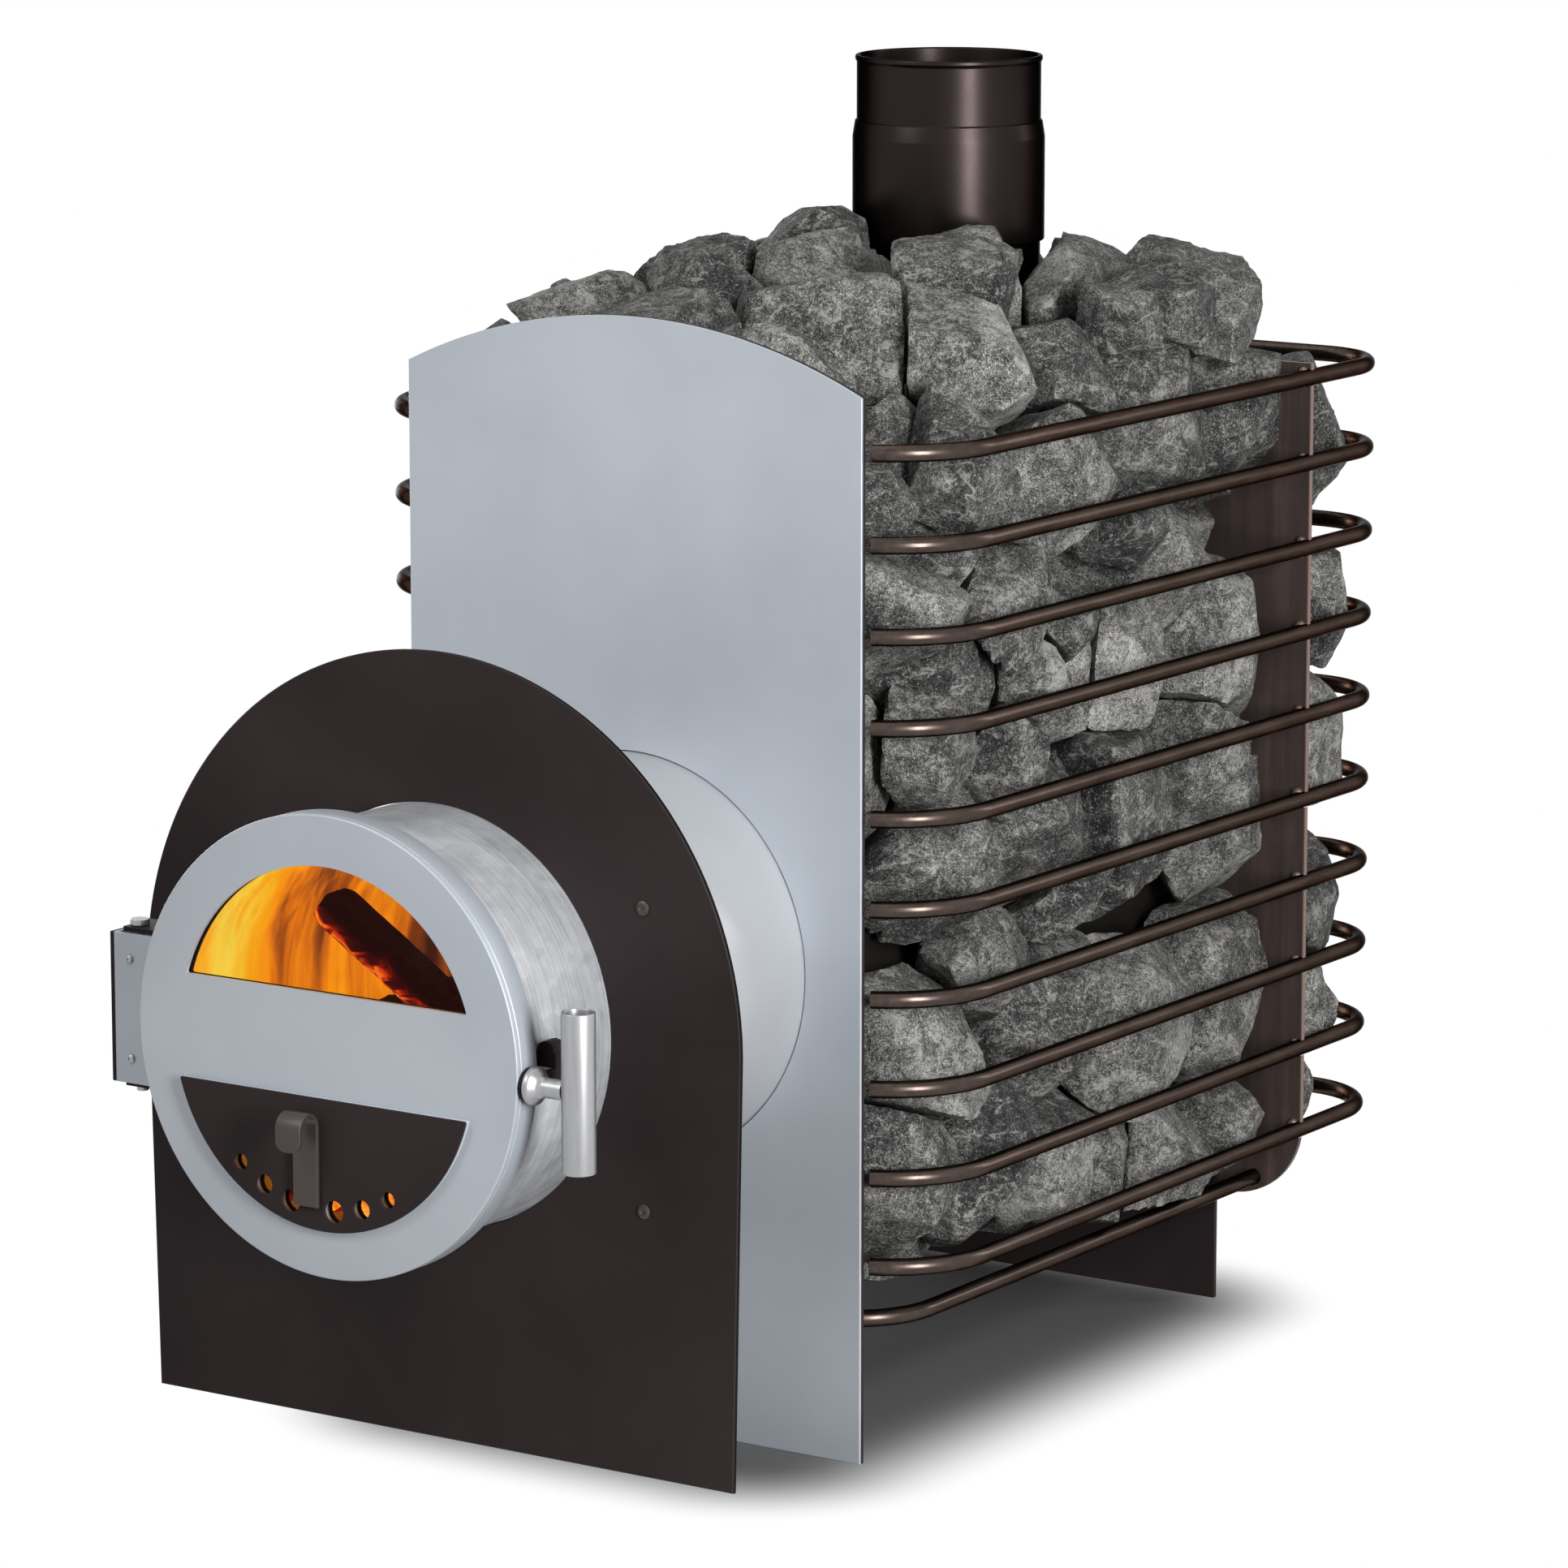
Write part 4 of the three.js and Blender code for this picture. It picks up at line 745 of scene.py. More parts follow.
for node, finish, slot in (
    ("door_collar", zinc, "galvanised_sheet"),
    ("firing_tunnel", silver_neutral_lit_copy, "silver_paint"),
):
    low, high = span(node)
    bm = bmesh.new()
    profile = tube_profile(TUNNEL_R, TUNNEL_R - TUNNEL_WALL, low.y, high.y, 0.8)
    lathe(bm, profile, "Y", (0.0, 0.0, AXIS_Z), 144)
    dress(node + "_skin", to_mesh(node + "_skin", bm), finish, "stove", [node])

air_holes = []
for i in range(3):
    for side in (-1, 1):
        turn = math.radians(HOLE_TURN + side * (HOLE_FIRST + i * HOLE_STEP))
        place = (HOLE_RING * math.sin(turn), AXIS_Z - HOLE_RING * math.cos(turn))
        air_holes.append((place, HOLE_R - i * HOLE_SHRINK))


def half_moon(r, sill, upper, steps=64, corner=1.2):
    tilt = math.degrees(math.asin(sill / r))
    bow = arc(r, tilt, 180 - tilt, steps) if upper else arc(r, 180 + tilt, 360 - tilt, steps)
    return rounded(bow, [corner] + [0] * (steps - 1) + [corner], 3)


lid_low, lid_high = span("door_lid")
RIM_GROOVE = 0.5
RIM_ROUND = 1.2
rim_inner = DOOR_R - DOOR_SHEET
face_back = lid_low.y + DOOR_SHEET
bm = bmesh.new()
window = half_moon(WINDOW_R, WINDOW_SILL, True)
face_holes = [window] + [circle(r + HOLE_EASE, place, 32) for place, r in air_holes]
rim_profile = [(DOOR_R - RIM_ROUND, lid_low.y)]
rim_profile += [
    (DOOR_R - RIM_ROUND + RIM_ROUND * math.sin(a), lid_low.y + RIM_ROUND - RIM_ROUND * math.cos(a))
    for a in (math.radians(15 * k) for k in range(1, 7))
]
seam = lid_low.y + 4.2
rim_profile += [(DOOR_R, seam), (DOOR_R - RIM_GROOVE, seam + 0.4), (DOOR_R - 0.1, seam + 1.0)]
rim_profile += [(DOOR_R - 0.1, lid_high.y - 1.0), (DOOR_R - 0.6, lid_high.y), (rim_inner + 0.5, lid_high.y)]
rim_profile += [(rim_inner, lid_high.y - 0.5), (rim_inner, face_back)]
LID_SIDES = 160
lathe(bm, rim_profile, "Y", (0.0, 0.0, AXIS_Z), LID_SIDES, closed=False)
for outer, y in ((DOOR_R - RIM_ROUND, lid_low.y), (rim_inner, face_back)):
    edges = []
    for loop in [circle(outer, sides=LID_SIDES)] + face_holes:
        ring = [bm.verts.new((p[0], y, p[1])) for p in loop]
        edges += [bm.edges.new((ring[k - 1], ring[k])) for k in range(len(ring))]
    bmesh.ops.triangle_fill(bm, use_beauty=True, use_dissolve=False, edges=edges)
for loop in face_holes:
    rows = [[bm.verts.new((p[0], y, p[1])) for p in loop] for y in (lid_low.y, face_back)]
    for k in range(len(loop)):
        bm.faces.new((rows[0][k - 1], rows[0][k], rows[1][k], rows[1][k - 1]))
dress("door_lid_skin", to_mesh("door_lid_skin", bm), silver, "door", ["door_lid"])

for node, finish, slot, ease, edge in (
    ("air_seat", silver, "silver_paint", HOLE_EASE, 0.25),
    ("air_plate", brown, "brown_paint", 0.0, 0.4),
):
    low, high = span(node)
    bm = bmesh.new()
    loops = [half_moon(AIR_R, AIR_TOP, False)] + [circle(r + ease, place, 32) for place, r in air_holes]
    plate(bm, loops, low.y, high.y, edge)
    dress(node + "_skin", to_mesh(node + "_skin", bm), finish, "door", [node])

GLASS_LAP = 8.0
FRAME_CLEAR = 0.8
low, high = span("glass_retainer")
bm = bmesh.new()
loops = [half_moon(WINDOW_R + grow, WINDOW_SILL - grow, True) for grow in (GLASS_LAP, FRAME_CLEAR)]
plate(bm, loops, low.y, high.y, 0.3)
dress("glass_frame", to_mesh("glass_frame", bm), iron_and_gap_shade, "door", ["glass_retainer"])

# Flue

low, high = span("flue_pipe")
bm = bmesh.new()
wall = 2.5
outer = high.x
profile = rounded(
    [
        (outer, low.z),
        (outer, high.z - 5.0),
        (outer + 1.1, high.z - 3.0),
        (outer + 1.1, high.z),
        (outer - wall, high.z),
        (outer - wall, low.z),
    ],
    [0.0, 3.0, 1.4, 1.3, 1.2, 0.0],
    5,
)
lathe(bm, profile, "Z", (0.0, FLUE_Y, 0.0), 128)
dress("flue_pipe_skin", to_mesh("flue_pipe_skin", bm), flue_brown, "stove", ["flue_pipe"], 40)
low, high = span("flue_sleeve")
bm = bmesh.new()
inner = outer + 0.3
sleeve = high.x
profile = rounded(
    [
        (inner, low.z),
        (sleeve, low.z),
        (sleeve, high.z - 12.0),
        (inner + 1.0, high.z - 1.0),
        (inner, high.z),
    ],
    [0.0, 3.0, 8.0, 0.8, 0.0],
    6,
)
lathe(bm, profile, "Z", (0.0, FLUE_Y, 0.0), 128)
dress("flue_sleeve_skin", to_mesh("flue_sleeve_skin", bm), flue_brown, "stove", ["flue_sleeve"], 40)

# Swept and repeated pieces


class Recipe(Graph):
    """A Geometry Nodes tree with named inputs, run on a start mesh and turned into a plain mesh."""

    def __init__(self, name, **inputs):
        self.tree = bpy.data.node_groups.new(name, "GeometryNodeTree")
        super().__init__(self.tree)
        face = self.tree.interface
        face.new_socket("Geometry", in_out="INPUT", socket_type="NodeSocketGeometry")
        kinds = {float: "NodeSocketFloat", int: "NodeSocketInt", tuple: "NodeSocketVector"}
        kinds[bpy.types.Material] = "NodeSocketMaterial"
        kinds[bpy.types.Object] = "NodeSocketObject"
        self.values = {}
        for key, value in inputs.items():
            kind = next(kinds[base] for base in kinds if isinstance(value, base))
            socket = face.new_socket(key, in_out="INPUT", socket_type=kind)
            self.values[socket.identifier] = value
        face.new_socket("Geometry", in_out="OUTPUT", socket_type="NodeSocketGeometry")
        self.entry = self.node("NodeGroupInput")

    def given(self, name):
        return self.entry.also(name)

    def run(self, start, result):
        whole = self.node("GeometryNodeRealizeInstances", None, {0: result})
        smooth = self.node("GeometryNodeSetShadeSmooth", None, {0: whole})
        painted = self.node("GeometryNodeSetMaterial", None, {0: smooth, "Material": self.given("Finish")})
        self.node("NodeGroupOutput", None, {0: painted})
        holder = bpy.data.objects.new(self.tree.name, start)
        scene.collection.objects.link(holder)
        modifier = holder.modifiers.new("recipe", "NODES")
        modifier.node_group = self.tree
        for identifier, value in self.values.items():
            modifier[identifier] = value
        bpy.context.view_layer.update()
        ready = holder.evaluated_get(bpy.context.evaluated_depsgraph_get())
        mesh = bpy.data.meshes.new_from_object(ready)
        holder.modifiers.clear()
        bpy.data.objects.remove(holder)
        mesh.name = self.tree.name
        return mesh


def path_mesh(name, points):
    mesh = bpy.data.meshes.new(name)
    mesh.from_pydata([Vector(p) * MM for p in points], [(i, i + 1) for i in range(len(points) - 1)], [])
    return mesh


def swept(name, points, radius, count, step, finish):
    """A round bar along a path, repeated at even steps."""
    recipe = Recipe(
        name, Radius=radius * MM, Count=count, Step=tuple(v * MM for v in step), Finish=finish.material
    )
    line = recipe.node("GeometryNodeMeshToCurve", None, {0: recipe.given("Geometry")})
    ring = recipe.node(
        "GeometryNodeCurvePrimitiveCircle", None, {"Resolution": 20, "Radius": recipe.given("Radius")}
    )
    bar = recipe.node("GeometryNodeCurveToMesh", None, {"Curve": line, "Profile Curve": ring, "Fill Caps": True})
    places = recipe.node(
        "GeometryNodeMeshLine",
        {"mode": "OFFSET"},
        {"Count": recipe.given("Count"), "Start Location": (0.0, 0.0, 0.0), "Offset": recipe.given("Step")},
    )
    copies = recipe.node("GeometryNodeInstanceOnPoints", None, {"Points": places, "Instance": bar})
    return recipe.run(path_mesh(name, points), copies)


basket_front = span("basket_front_plate")[1].y + 0.3
rod_start = basket_front + ROD_R * math.sin(math.radians(ROD_START_ANGLE))
bend_r = (ROD_HALF - ROD_START_X) / (1 - math.cos(math.radians(ROD_START_ANGLE)))
bend_middle = (ROD_HALF - bend_r, rod_start + bend_r * math.sin(math.radians(ROD_START_ANGLE)))
rear_middle = (ROD_HALF - ROD_REAR_R, ROD_REAR_Y - ROD_REAR_R)
right_plan = arc(bend_r, -ROD_START_ANGLE, 0, 16, bend_middle) + arc(ROD_REAR_R, 0, 90, 14, rear_middle)
whole_plan = right_plan + [(-x, y) for x, y in reversed(right_plan)]
rods = swept(
    "basket_rods",
    [(x, y, ROD_LOW) for x, y in whole_plan],
    ROD_R,
    ROD_COUNT,
    (0.0, 0.0, ROD_PITCH),
    bronze,
)
rod_nodes = [f"basket_rod_{i:02d}" for i in range(1, ROD_COUNT + 1)]
dress("basket_rods", rods, bronze, "stove", rod_nodes, 50)

bar_low, bar_high = span("bottom_bar_4")
bar_x = bar_high.x - ROD_R
bar_z = (bar_low.z + bar_high.z) / 2
bar_bow = BAR_BEND / (1 - math.cos(math.radians(ROD_START_ANGLE)))
bar_middle = (bar_x - bar_bow, rod_start + bar_bow * math.sin(math.radians(ROD_START_ANGLE)))
bent = arc(bar_bow, -ROD_START_ANGLE, 0, 14, bar_middle) + [(bar_x, bar_high.y)]
for side, node in ((1, "bottom_bar_4"), (-1, "bottom_bar_1")):
    route = [(side * x, y, bar_z) for x, y in bent]
    bar = swept(node + "_bent", route, ROD_R, 1, (0.0, 0.0, ROD_PITCH), bronze)
    dress(node + "_bent", bar, bronze, "stove", [node], 50)
low, high = span("bottom_bar_2")
inner_x = (low.x + high.x) / 2
inner_bars = swept(
    "inner_bars",
    [(inner_x, low.y, bar_z), (inner_x, high.y, bar_z)],
    ROD_R,
    2,
    (-2 * inner_x, 0.0, 0.0),
    bronze,
)
dress("inner_bars", inner_bars, bronze, "stove", ["bottom_bar_2", "bottom_bar_3"], 50)

# Handle

tube_low, tube_high = span("handle_tube")
stem_low, stem_high = span("handle_stem")
tube_mid = (tube_low + tube_high) / 2
tube_r = (tube_high.x - tube_low.x) / 2
bm = bmesh.new()
profile = tube_profile(tube_r, tube_r - 1.5, tube_low.z, tube_high.z, 0.6)
lathe(bm, profile, "Z", (tube_mid.x, tube_mid.y, 0.0), 64)
dress("handle_tube_skin", to_mesh("handle_tube_skin", bm), bright, "handle", ["handle_tube"], 40)
BOSS_R = 12.5
STEM_R = 6.5
bm = bmesh.new()
boss = span("latch_tongue")[1].x + 0.3
profile = rounded(
    [
        (0.0, stem_low.x),
        (4.0, stem_low.x),
        (4.0, boss),
        (BOSS_R, boss),
        (BOSS_R, boss + 4.0),
        (STEM_R + 1.5, boss + 8.0),
        (STEM_R, boss + 11.0),
        (STEM_R, stem_high.x),
        (0.0, stem_high.x),
    ],
    [0.0, 0.5, 0.3, 1.2, 2.5, 3.0, 3.0, 0.3, 0.0],
    5,
    closed=False,
)
lathe(bm, profile, "X", (0.0, tube_mid.y, (stem_low.z + stem_high.z) / 2), 48, closed=False)
dress("handle_stem_skin", to_mesh("handle_stem_skin", bm), bright, "handle", ["handle_stem"], 40)

# Stones, laid by the same draw of lots as the solids


STONE_WALL = 226.4
STONE_FRONT = 4.9
STONE_BACK = 507.1
STONE_REAR_FRONT = 516.6
STONE_REAR_BACK = 637.4
STONE_FLOOR = 102.3
STONE_SEED = 20261
STONE_SIZES = ((128.0, 700), (96.0, 1600), (66.0, 3200))
STONE_CLOSE = 0.84
STONE_SEAT = 0.3
STONE_SHOWS = 95.0
STONE_SHARP = 90
STONE_FLAKES = 4
STONE_GAP = 1.3
FIREBOX_CLEAR = 150.6
FLUE_CLEAR = 69.6
RIB_CLEAR = 36.0
RIB_SHARE = 0.3
CORNER_TRIM = 7.8
HEAP_EDGE = 704.0
HEAP_PEAK = 808.0
HEAP_ROUND = 2.6
HEAP_SLOPE = 38.0
HEAP_TOP_Y = 275.0
HEAP_RUN = 250.0
REAR_TOP = 690.0
LOOSE_STONES = ((178.0, 462.0, 82.0), (184.0, 388.0, 74.0), (136.0, 472.0, 52.0), (190.0, 320.0, 60.0))
LOOSE_SHARES = (0.5, 0.46, 0.4)
LOOSE_SEAT = 0.22
SPLITS = ((3.0, 14.0, 0.03), (16.0, 30.0, 0.08), (26.0, 44.0, 0.12))


class Lots:
    """Repeatable draw of numbers."""

    def __init__(self, seed):
        self.state = seed

    def draw(self, low, high):
        self.state = (self.state * 48271) % 2147483647
        return low + (high - low) * self.state / 2147483647


lots = Lots(STONE_SEED)


def heap_height(x, y):
    """Height of the stone heap over the plan."""
    across = abs(x) / STONE_WALL
    along = (y - HEAP_TOP_Y) / HEAP_RUN
    fall = (HEAP_PEAK - HEAP_EDGE) * across**HEAP_ROUND + HEAP_SLOPE * along**2
    return max(HEAP_EDGE, HEAP_PEAK - fall)


def basket_walls(x, y, z, rear):
    """Flat limits of a stone: outward direction, distance from its middle and kind."""
    side = 1.0 if x >= 0 else -1.0
    front = STONE_REAR_FRONT if rear else STONE_FRONT
    back = STONE_REAR_BACK if rear else STONE_BACK
    limits = [
        (Vector((side, 0, 0)), STONE_WALL - abs(x), "wall"),
        (Vector((0, 0, -1)), z - STONE_FLOOR, "floor"),
        (Vector((0, 1, 0)), back - y, "wall" if rear else "rib"),
        (Vector((0, -1, 0)), y - front, "panel"),
    ]
    corner, bow, turns = bend_middle, bend_r - CORNER_TRIM, (-16, -38, -58)
    if rear:
        corner, bow, turns = rear_middle, ROD_REAR_R - CORNER_TRIM, (22, 45, 68)
    for turn in turns:
        across, along = math.cos(math.radians(turn)), math.sin(math.radians(turn))
        depth = bow - (abs(x) - corner[0]) * across - (y - corner[1]) * along
        limits.append((Vector((side * across, along, 0)), depth, "corner"))
    if rear:
        limits.append((Vector((0, 0, 1)), REAR_TOP - z, "heap"))
        return limits
    slope_x = (heap_height(x + 5, y) - heap_height(x - 5, y)) / 10
    slope_y = (heap_height(x, y + 5) - heap_height(x, y - 5)) / 10
    up = Vector((-slope_x, -slope_y, 1)).normalized()
    limits.append((up, (heap_height(x, y) - z) * up.z, "heap"))
    out = Vector((x, 0, z - AXIS_Z))
    limits.append((-out.normalized(), out.length - FIREBOX_CLEAR, "firebox"))
    if z > AXIS_Z + FIREBOX_CLEAR:
        out = Vector((x, y - FLUE_Y, 0))
        limits.append((-out.normalized(), out.length - FLUE_CLEAR, "flue"))
    return limits


def scatter(rear):
    """Middles and sizes of the stones, the big ones laid first."""
    laid = []
    front = STONE_REAR_FRONT if rear else STONE_FRONT
    back = STONE_REAR_BACK if rear else STONE_BACK
    for size, tries in STONE_SIZES:
        for _ in range(tries):
            x = lots.draw(-STONE_WALL, STONE_WALL)
            y = lots.draw(front, back)
            z = lots.draw(STONE_FLOOR, HEAP_PEAK)
            if min(limit[1] for limit in basket_walls(x, y, z, rear)) < STONE_SEAT * size:
                continue
            spot = Vector((x, y, z))
            if all((spot - other).length > STONE_CLOSE * (size + wide) / 2 for other, wide in laid):
                laid.append((spot, size))
    return laid


def leaning(way, degrees, turn):
    """A direction that leans off another one."""
    helper = Vector((0, 0, 1)) if abs(way.z) < 0.8 else Vector((1, 0, 0))
    aside = way.cross(helper).normalized()
    other = way.cross(aside)
    lean = math.tan(math.radians(degrees))
    return (way + (aside * math.cos(turn) + other * math.sin(turn)) * lean).normalized()


def support(faces, way):
    """How far a stone's faces let it reach in a direction."""
    return min(depth / way.dot(face) for face, depth in faces if way.dot(face) > 0.05)


def stone_faces(spot, size, laid, rear):
    """The flat faces of one stone, and whether it shows from outside."""
    faces, seen = [], []
    for other, wide in laid:
        apart = (other - spot).length
        if 0 < apart < size + wide:
            half = apart / 2 + (size**2 - wide**2) / (8 * apart)
            faces.append(((other - spot) / apart, half))
    for way, depth, kind in basket_walls(spot.x, spot.y, spot.z, rear):
        shows = kind in ("wall", "corner", "heap") and depth < STONE_SHOWS
        lift = lots.draw(0.0, 12.0) if kind == "heap" else lots.draw(-3.0, 0.0)
        if kind == "rib" and abs(spot.x) > FIREBOX_CLEAR:
            lift = -RIB_SHARE * lots.draw(RIB_CLEAR / 2, RIB_CLEAR)
        faces.append((way, max(0.2 * size, depth + lift)))
        if not shows:
            continue
        seen.append(way)
        steep = 2.0 if kind == "heap" else 1.0
        for least, most, sink in SPLITS[:1] if kind == "corner" else SPLITS:
            lean = leaning(way, min(48.0, steep * lots.draw(least, most)), lots.draw(0.0, 2 * math.pi))
            faces.append((lean, max(0.2 * size, depth + lift - size * lots.draw(0.0, sink))))
    for way in seen[:2]:
        for _ in range(2):
            chip = leaning(way, lots.draw(44.0, 66.0), lots.draw(0.0, 2 * math.pi))
            faces.append((chip, support(faces, chip) * lots.draw(0.82, 0.97)))
    return faces, bool(seen)


def ball(cuts):
    """Directions and faces of an evenly cut cube blown up to a sphere."""
    bm = bmesh.new()
    bmesh.ops.create_cube(bm, size=2.0)
    bmesh.ops.subdivide_edges(bm, edges=bm.edges[:], cuts=cuts, use_grid_fill=True)
    bmesh.ops.triangulate(bm, faces=bm.faces[:])
    bm.verts.index_update()
    ways = [Vector([math.tan(c * math.pi / 4) for c in v.co]).normalized() for v in bm.verts]
    faces = [[v.index for v in face.verts] for face in bm.faces]
    bm.free()
    return ways, np.array(faces)


BALLS = {True: ball(16), False: ball(7)}


def flaked(faces):
    """A stone's faces with small flakes struck off all round."""
    result = list(faces)
    for _ in range(STONE_FLAKES):
        way = Vector([rng.gauss(0, 1) for _ in range(3)]).normalized()
        result.append((way, support(result, way) * rng.uniform(0.94, 0.99)))
    return result


def shape_stone(spot, faces, seed, shown):
    """Points of one stone: flat faces with softened, wandering edges and a rough skin."""
    ways, triangles = BALLS[shown]
    drift = Vector((seed * 7.13, seed * 3.37, seed * 1.71))
    bent = [(way + 0.03 * noise.noise_vector(way * 2.3 + drift)).normalized() for way in ways]
    outward = np.array([tuple(face[0]) for face in faces])
    depth = np.array([face[1] - STONE_GAP for face in faces])
    share = np.clip(np.array([tuple(v) for v in bent]) @ outward.T / depth, 0.0, None) ** STONE_SHARP
    whole = share.sum(axis=1)
    reach = whole ** (-1.0 / STONE_SHARP)
    edge = 1.0 - share.max(axis=1) / whole
    points = []
    for way, r in zip(ways, reach):
        skin = spot + way * float(r)
        rough = 1.5 * noise.fractal(skin / 26.0 + drift, 0.9, 2.0, 3) + 0.8 * noise.fractal(skin / 9.0, 0.8, 2.0, 2)
        points.append(spot + way * (float(r) - 0.6 + rough))
    return points, edge, share.argmax(axis=1), triangles


def stone_group(spot, rear):
    """Which body of stones a stone belongs to."""
    if rear:
        return "stones_rear"
    if spot.z > AXIS_Z + FIREBOX_CLEAR:
        return "stones_top"
    if abs(spot.x) < FIREBOX_CLEAR:
        return "stones_under"
    return "stones_right" if spot.x > 0 else "stones_left"


def loose_faces(spot, size):
    """A stone that lies on the heap: six leaning sides with the corners struck off."""
    faces = [(Vector((1, 0, 0)), STONE_WALL - spot.x)]
    for axis, share in enumerate(LOOSE_SHARES):
        for side in (-1, 1):
            way = Vector([side * (k == axis) for k in range(3)])
            faces.append((leaning(way, rng.uniform(4, 18), rng.uniform(0, 2 * math.pi)), share * size))
    for _ in range(7):
        way = Vector([rng.gauss(0, 1) for _ in range(3)]).normalized()
        faces.append((way, support(faces, way) * rng.uniform(0.76, 0.92)))
    return faces


def lay_stone(group, spot, faces, shown):
    """Adds one stone to its heap."""
    faces = flaked(faces)
    points, edge, owner, triangles = shape_stone(spot, faces, rng.uniform(0, 50), shown)
    heap = heaps.setdefault(group, {"points": [], "faces": [], "tone": [], "edge": []})
    heap["faces"].append(triangles + len(heap["points"]))
    heap["points"] += points
    facet = np.array([rng.uniform(-0.2, 0.2) for _ in faces])
    heap["tone"].append(rng.uniform(0.25, 0.75) + facet[owner])
    heap["edge"].append(edge)


heaps = {}
rng = random.Random(41)
for rear in (False, True):
    laid = scatter(rear)
    for spot, size in laid:
        faces, shown = stone_faces(spot, size, laid, rear)
        lay_stone(stone_group(spot, rear), spot, faces, shown)
for x, y, size in LOOSE_STONES:
    spot = Vector((x, y, heap_height(x, y) + (LOOSE_SHARES[2] - LOOSE_SEAT) * size))
    lay_stone("stones_top", spot, loose_faces(spot, size), True)
for group, heap in heaps.items():
    mesh = bpy.data.meshes.new(group + "_heap")
    mesh.from_pydata([p * MM for p in heap["points"]], [], np.concatenate(heap["faces"]).tolist())
    for key in ("tone", "edge"):
        layer = mesh.attributes.new("stone_" + key, "FLOAT", "POINT")
        layer.data.foreach_set("value", np.concatenate(heap[key]).astype(np.float32))
    dress(group + "_heap", mesh, stone, "stove", [group], 38)

# Screws, welds and coals


def repeated(name, head, places, turn, finish, spread=0.0, swing=0.0, seed=0):
    """One head set at each place, each turned and sized a little differently."""
    recipe = Recipe(
        name,
        Head=head,
        Turn=tuple(turn),
        Swing=float(swing),
        Least=1.0 - spread,
        Most=1.0 + spread,
        Seed=seed,
        Finish=finish.material,
    )
    shape = recipe.node("GeometryNodeObjectInfo", None, {"Object": recipe.given("Head")}, "Geometry")
    size = recipe.node(
        "FunctionNodeRandomValue",
        {"data_type": "FLOAT"},
        {2: recipe.given("Least"), 3: recipe.given("Most"), "Seed": recipe.given("Seed")},
        1,
    )
    lean = recipe.node(
        "FunctionNodeRandomValue",
        {"data_type": "FLOAT_VECTOR"},
        {0: (-swing, -swing, -swing), 1: (swing, swing, swing), "Seed": recipe.given("Seed")},
        0,
    )
    aim = recipe.node("ShaderNodeVectorMath", {"operation": "ADD"}, {0: lean, 1: recipe.given("Turn")})
    copies = recipe.node(
        "GeometryNodeInstanceOnPoints",
        None,
        {"Points": recipe.given("Geometry"), "Instance": shape, "Rotation": aim, "Scale": size},
    )
    start = bpy.data.meshes.new(name)
    start.from_pydata([Vector(p) * MM for p in places], [], [])
    mesh = recipe.run(start, copies)
    bpy.data.objects.remove(head)
    return mesh


def holder(name, bm):
    """A shape to be repeated."""
    thing = bpy.data.objects.new(name, to_mesh(name, bm))
    scene.collection.objects.link(thing)
    return thing


def screw_head(radius, height):
    """Domed head that stands along +Z, with a socket."""
    bm = bmesh.new()
    socket = 0.42 * radius
    profile = [(0.0, 0.0), (radius, 0.0), (radius, 0.36 * height), (0.66 * radius, 0.97 * height)]
    profile += [(socket, 0.97 * height), (0.9 * socket, 0.45 * height), (0.0, 0.4 * height)]
    lathe(bm, rounded(profile, [0, 0, 0.1, 0.8, 0.15, 0.1, 0], 2, closed=False), "Z", (0, 0, 0), 18, closed=False)
    return holder("head", bm)


HINGE_HEAD_SHARE = 0.83


def screws(name, nodes, axis, finish, body, share=1.0):
    """Screws that stand out along -Y or -X from the face they hold."""
    boxes = [span(node) for node in nodes]
    low, high = boxes[0]
    places = [(lo + hi) / 2 for lo, hi in boxes]
    if axis == "Y":
        radius, height, turn = (high.x - low.x) / 2, high.y - low.y, (math.pi / 2, 0.0, 0.0)
        places = [(p.x, hi.y, p.z) for p, (lo, hi) in zip(places, boxes)]
    else:
        radius, height, turn = (high.z - low.z) / 2, high.x - low.x, (0.0, -math.pi / 2, 0.0)
        places = [(hi.x, p.y, p.z) for p, (lo, hi) in zip(places, boxes)]
    mesh = repeated(name, screw_head(radius * share, height), places, turn, finish)
    dress(name, mesh, finish, body, nodes, 40)


# The plate screw heads take the lighter copy of the brown paint: painted highlight.
screws("plate_screws", [f"plate_screw_{i}" for i in range(1, 5)], "Y", rubbed_brown, "stove")
# The heads on the hinge are small enough to pass each other when the door is wide open.
screws("leaf_screws", ["leaf_screw_1", "leaf_screw_2"], "Y", bright, "door", HINGE_HEAD_SHARE)
screws("side_screws", ["side_screw_1", "side_screw_2"], "X", bright, "stove", HINGE_HEAD_SHARE)

rib_low, rib_high = span("rear_rib")
weld_places = []
for k in range(ROD_COUNT):
    for side in (-1, 1):
        for y in (rib_low.y - 0.6, rib_high.y + 0.6):
            weld_places.append((side * (ROD_HALF - 4.0), y, ROD_LOW + k * ROD_PITCH - 4.0))
            weld_places.append((side * (ROD_HALF - 3.0), y, ROD_LOW + k * ROD_PITCH + 4.5))
bm = bmesh.new()
bmesh.ops.create_icosphere(bm, subdivisions=2, radius=3.4)
for v in bm.verts:
    v.co *= 1 + 0.18 * noise.noise(v.co * 0.7)
# The beads take the light copper finish: painted glints at the welds.
welds = repeated("rod_welds", holder("bead", bm), weld_places, (0, 0, 0), weld_painted_glint, 0.3, 3.0, 5)
dress("rod_welds", welds, weld_painted_glint, "stove", (), 60)

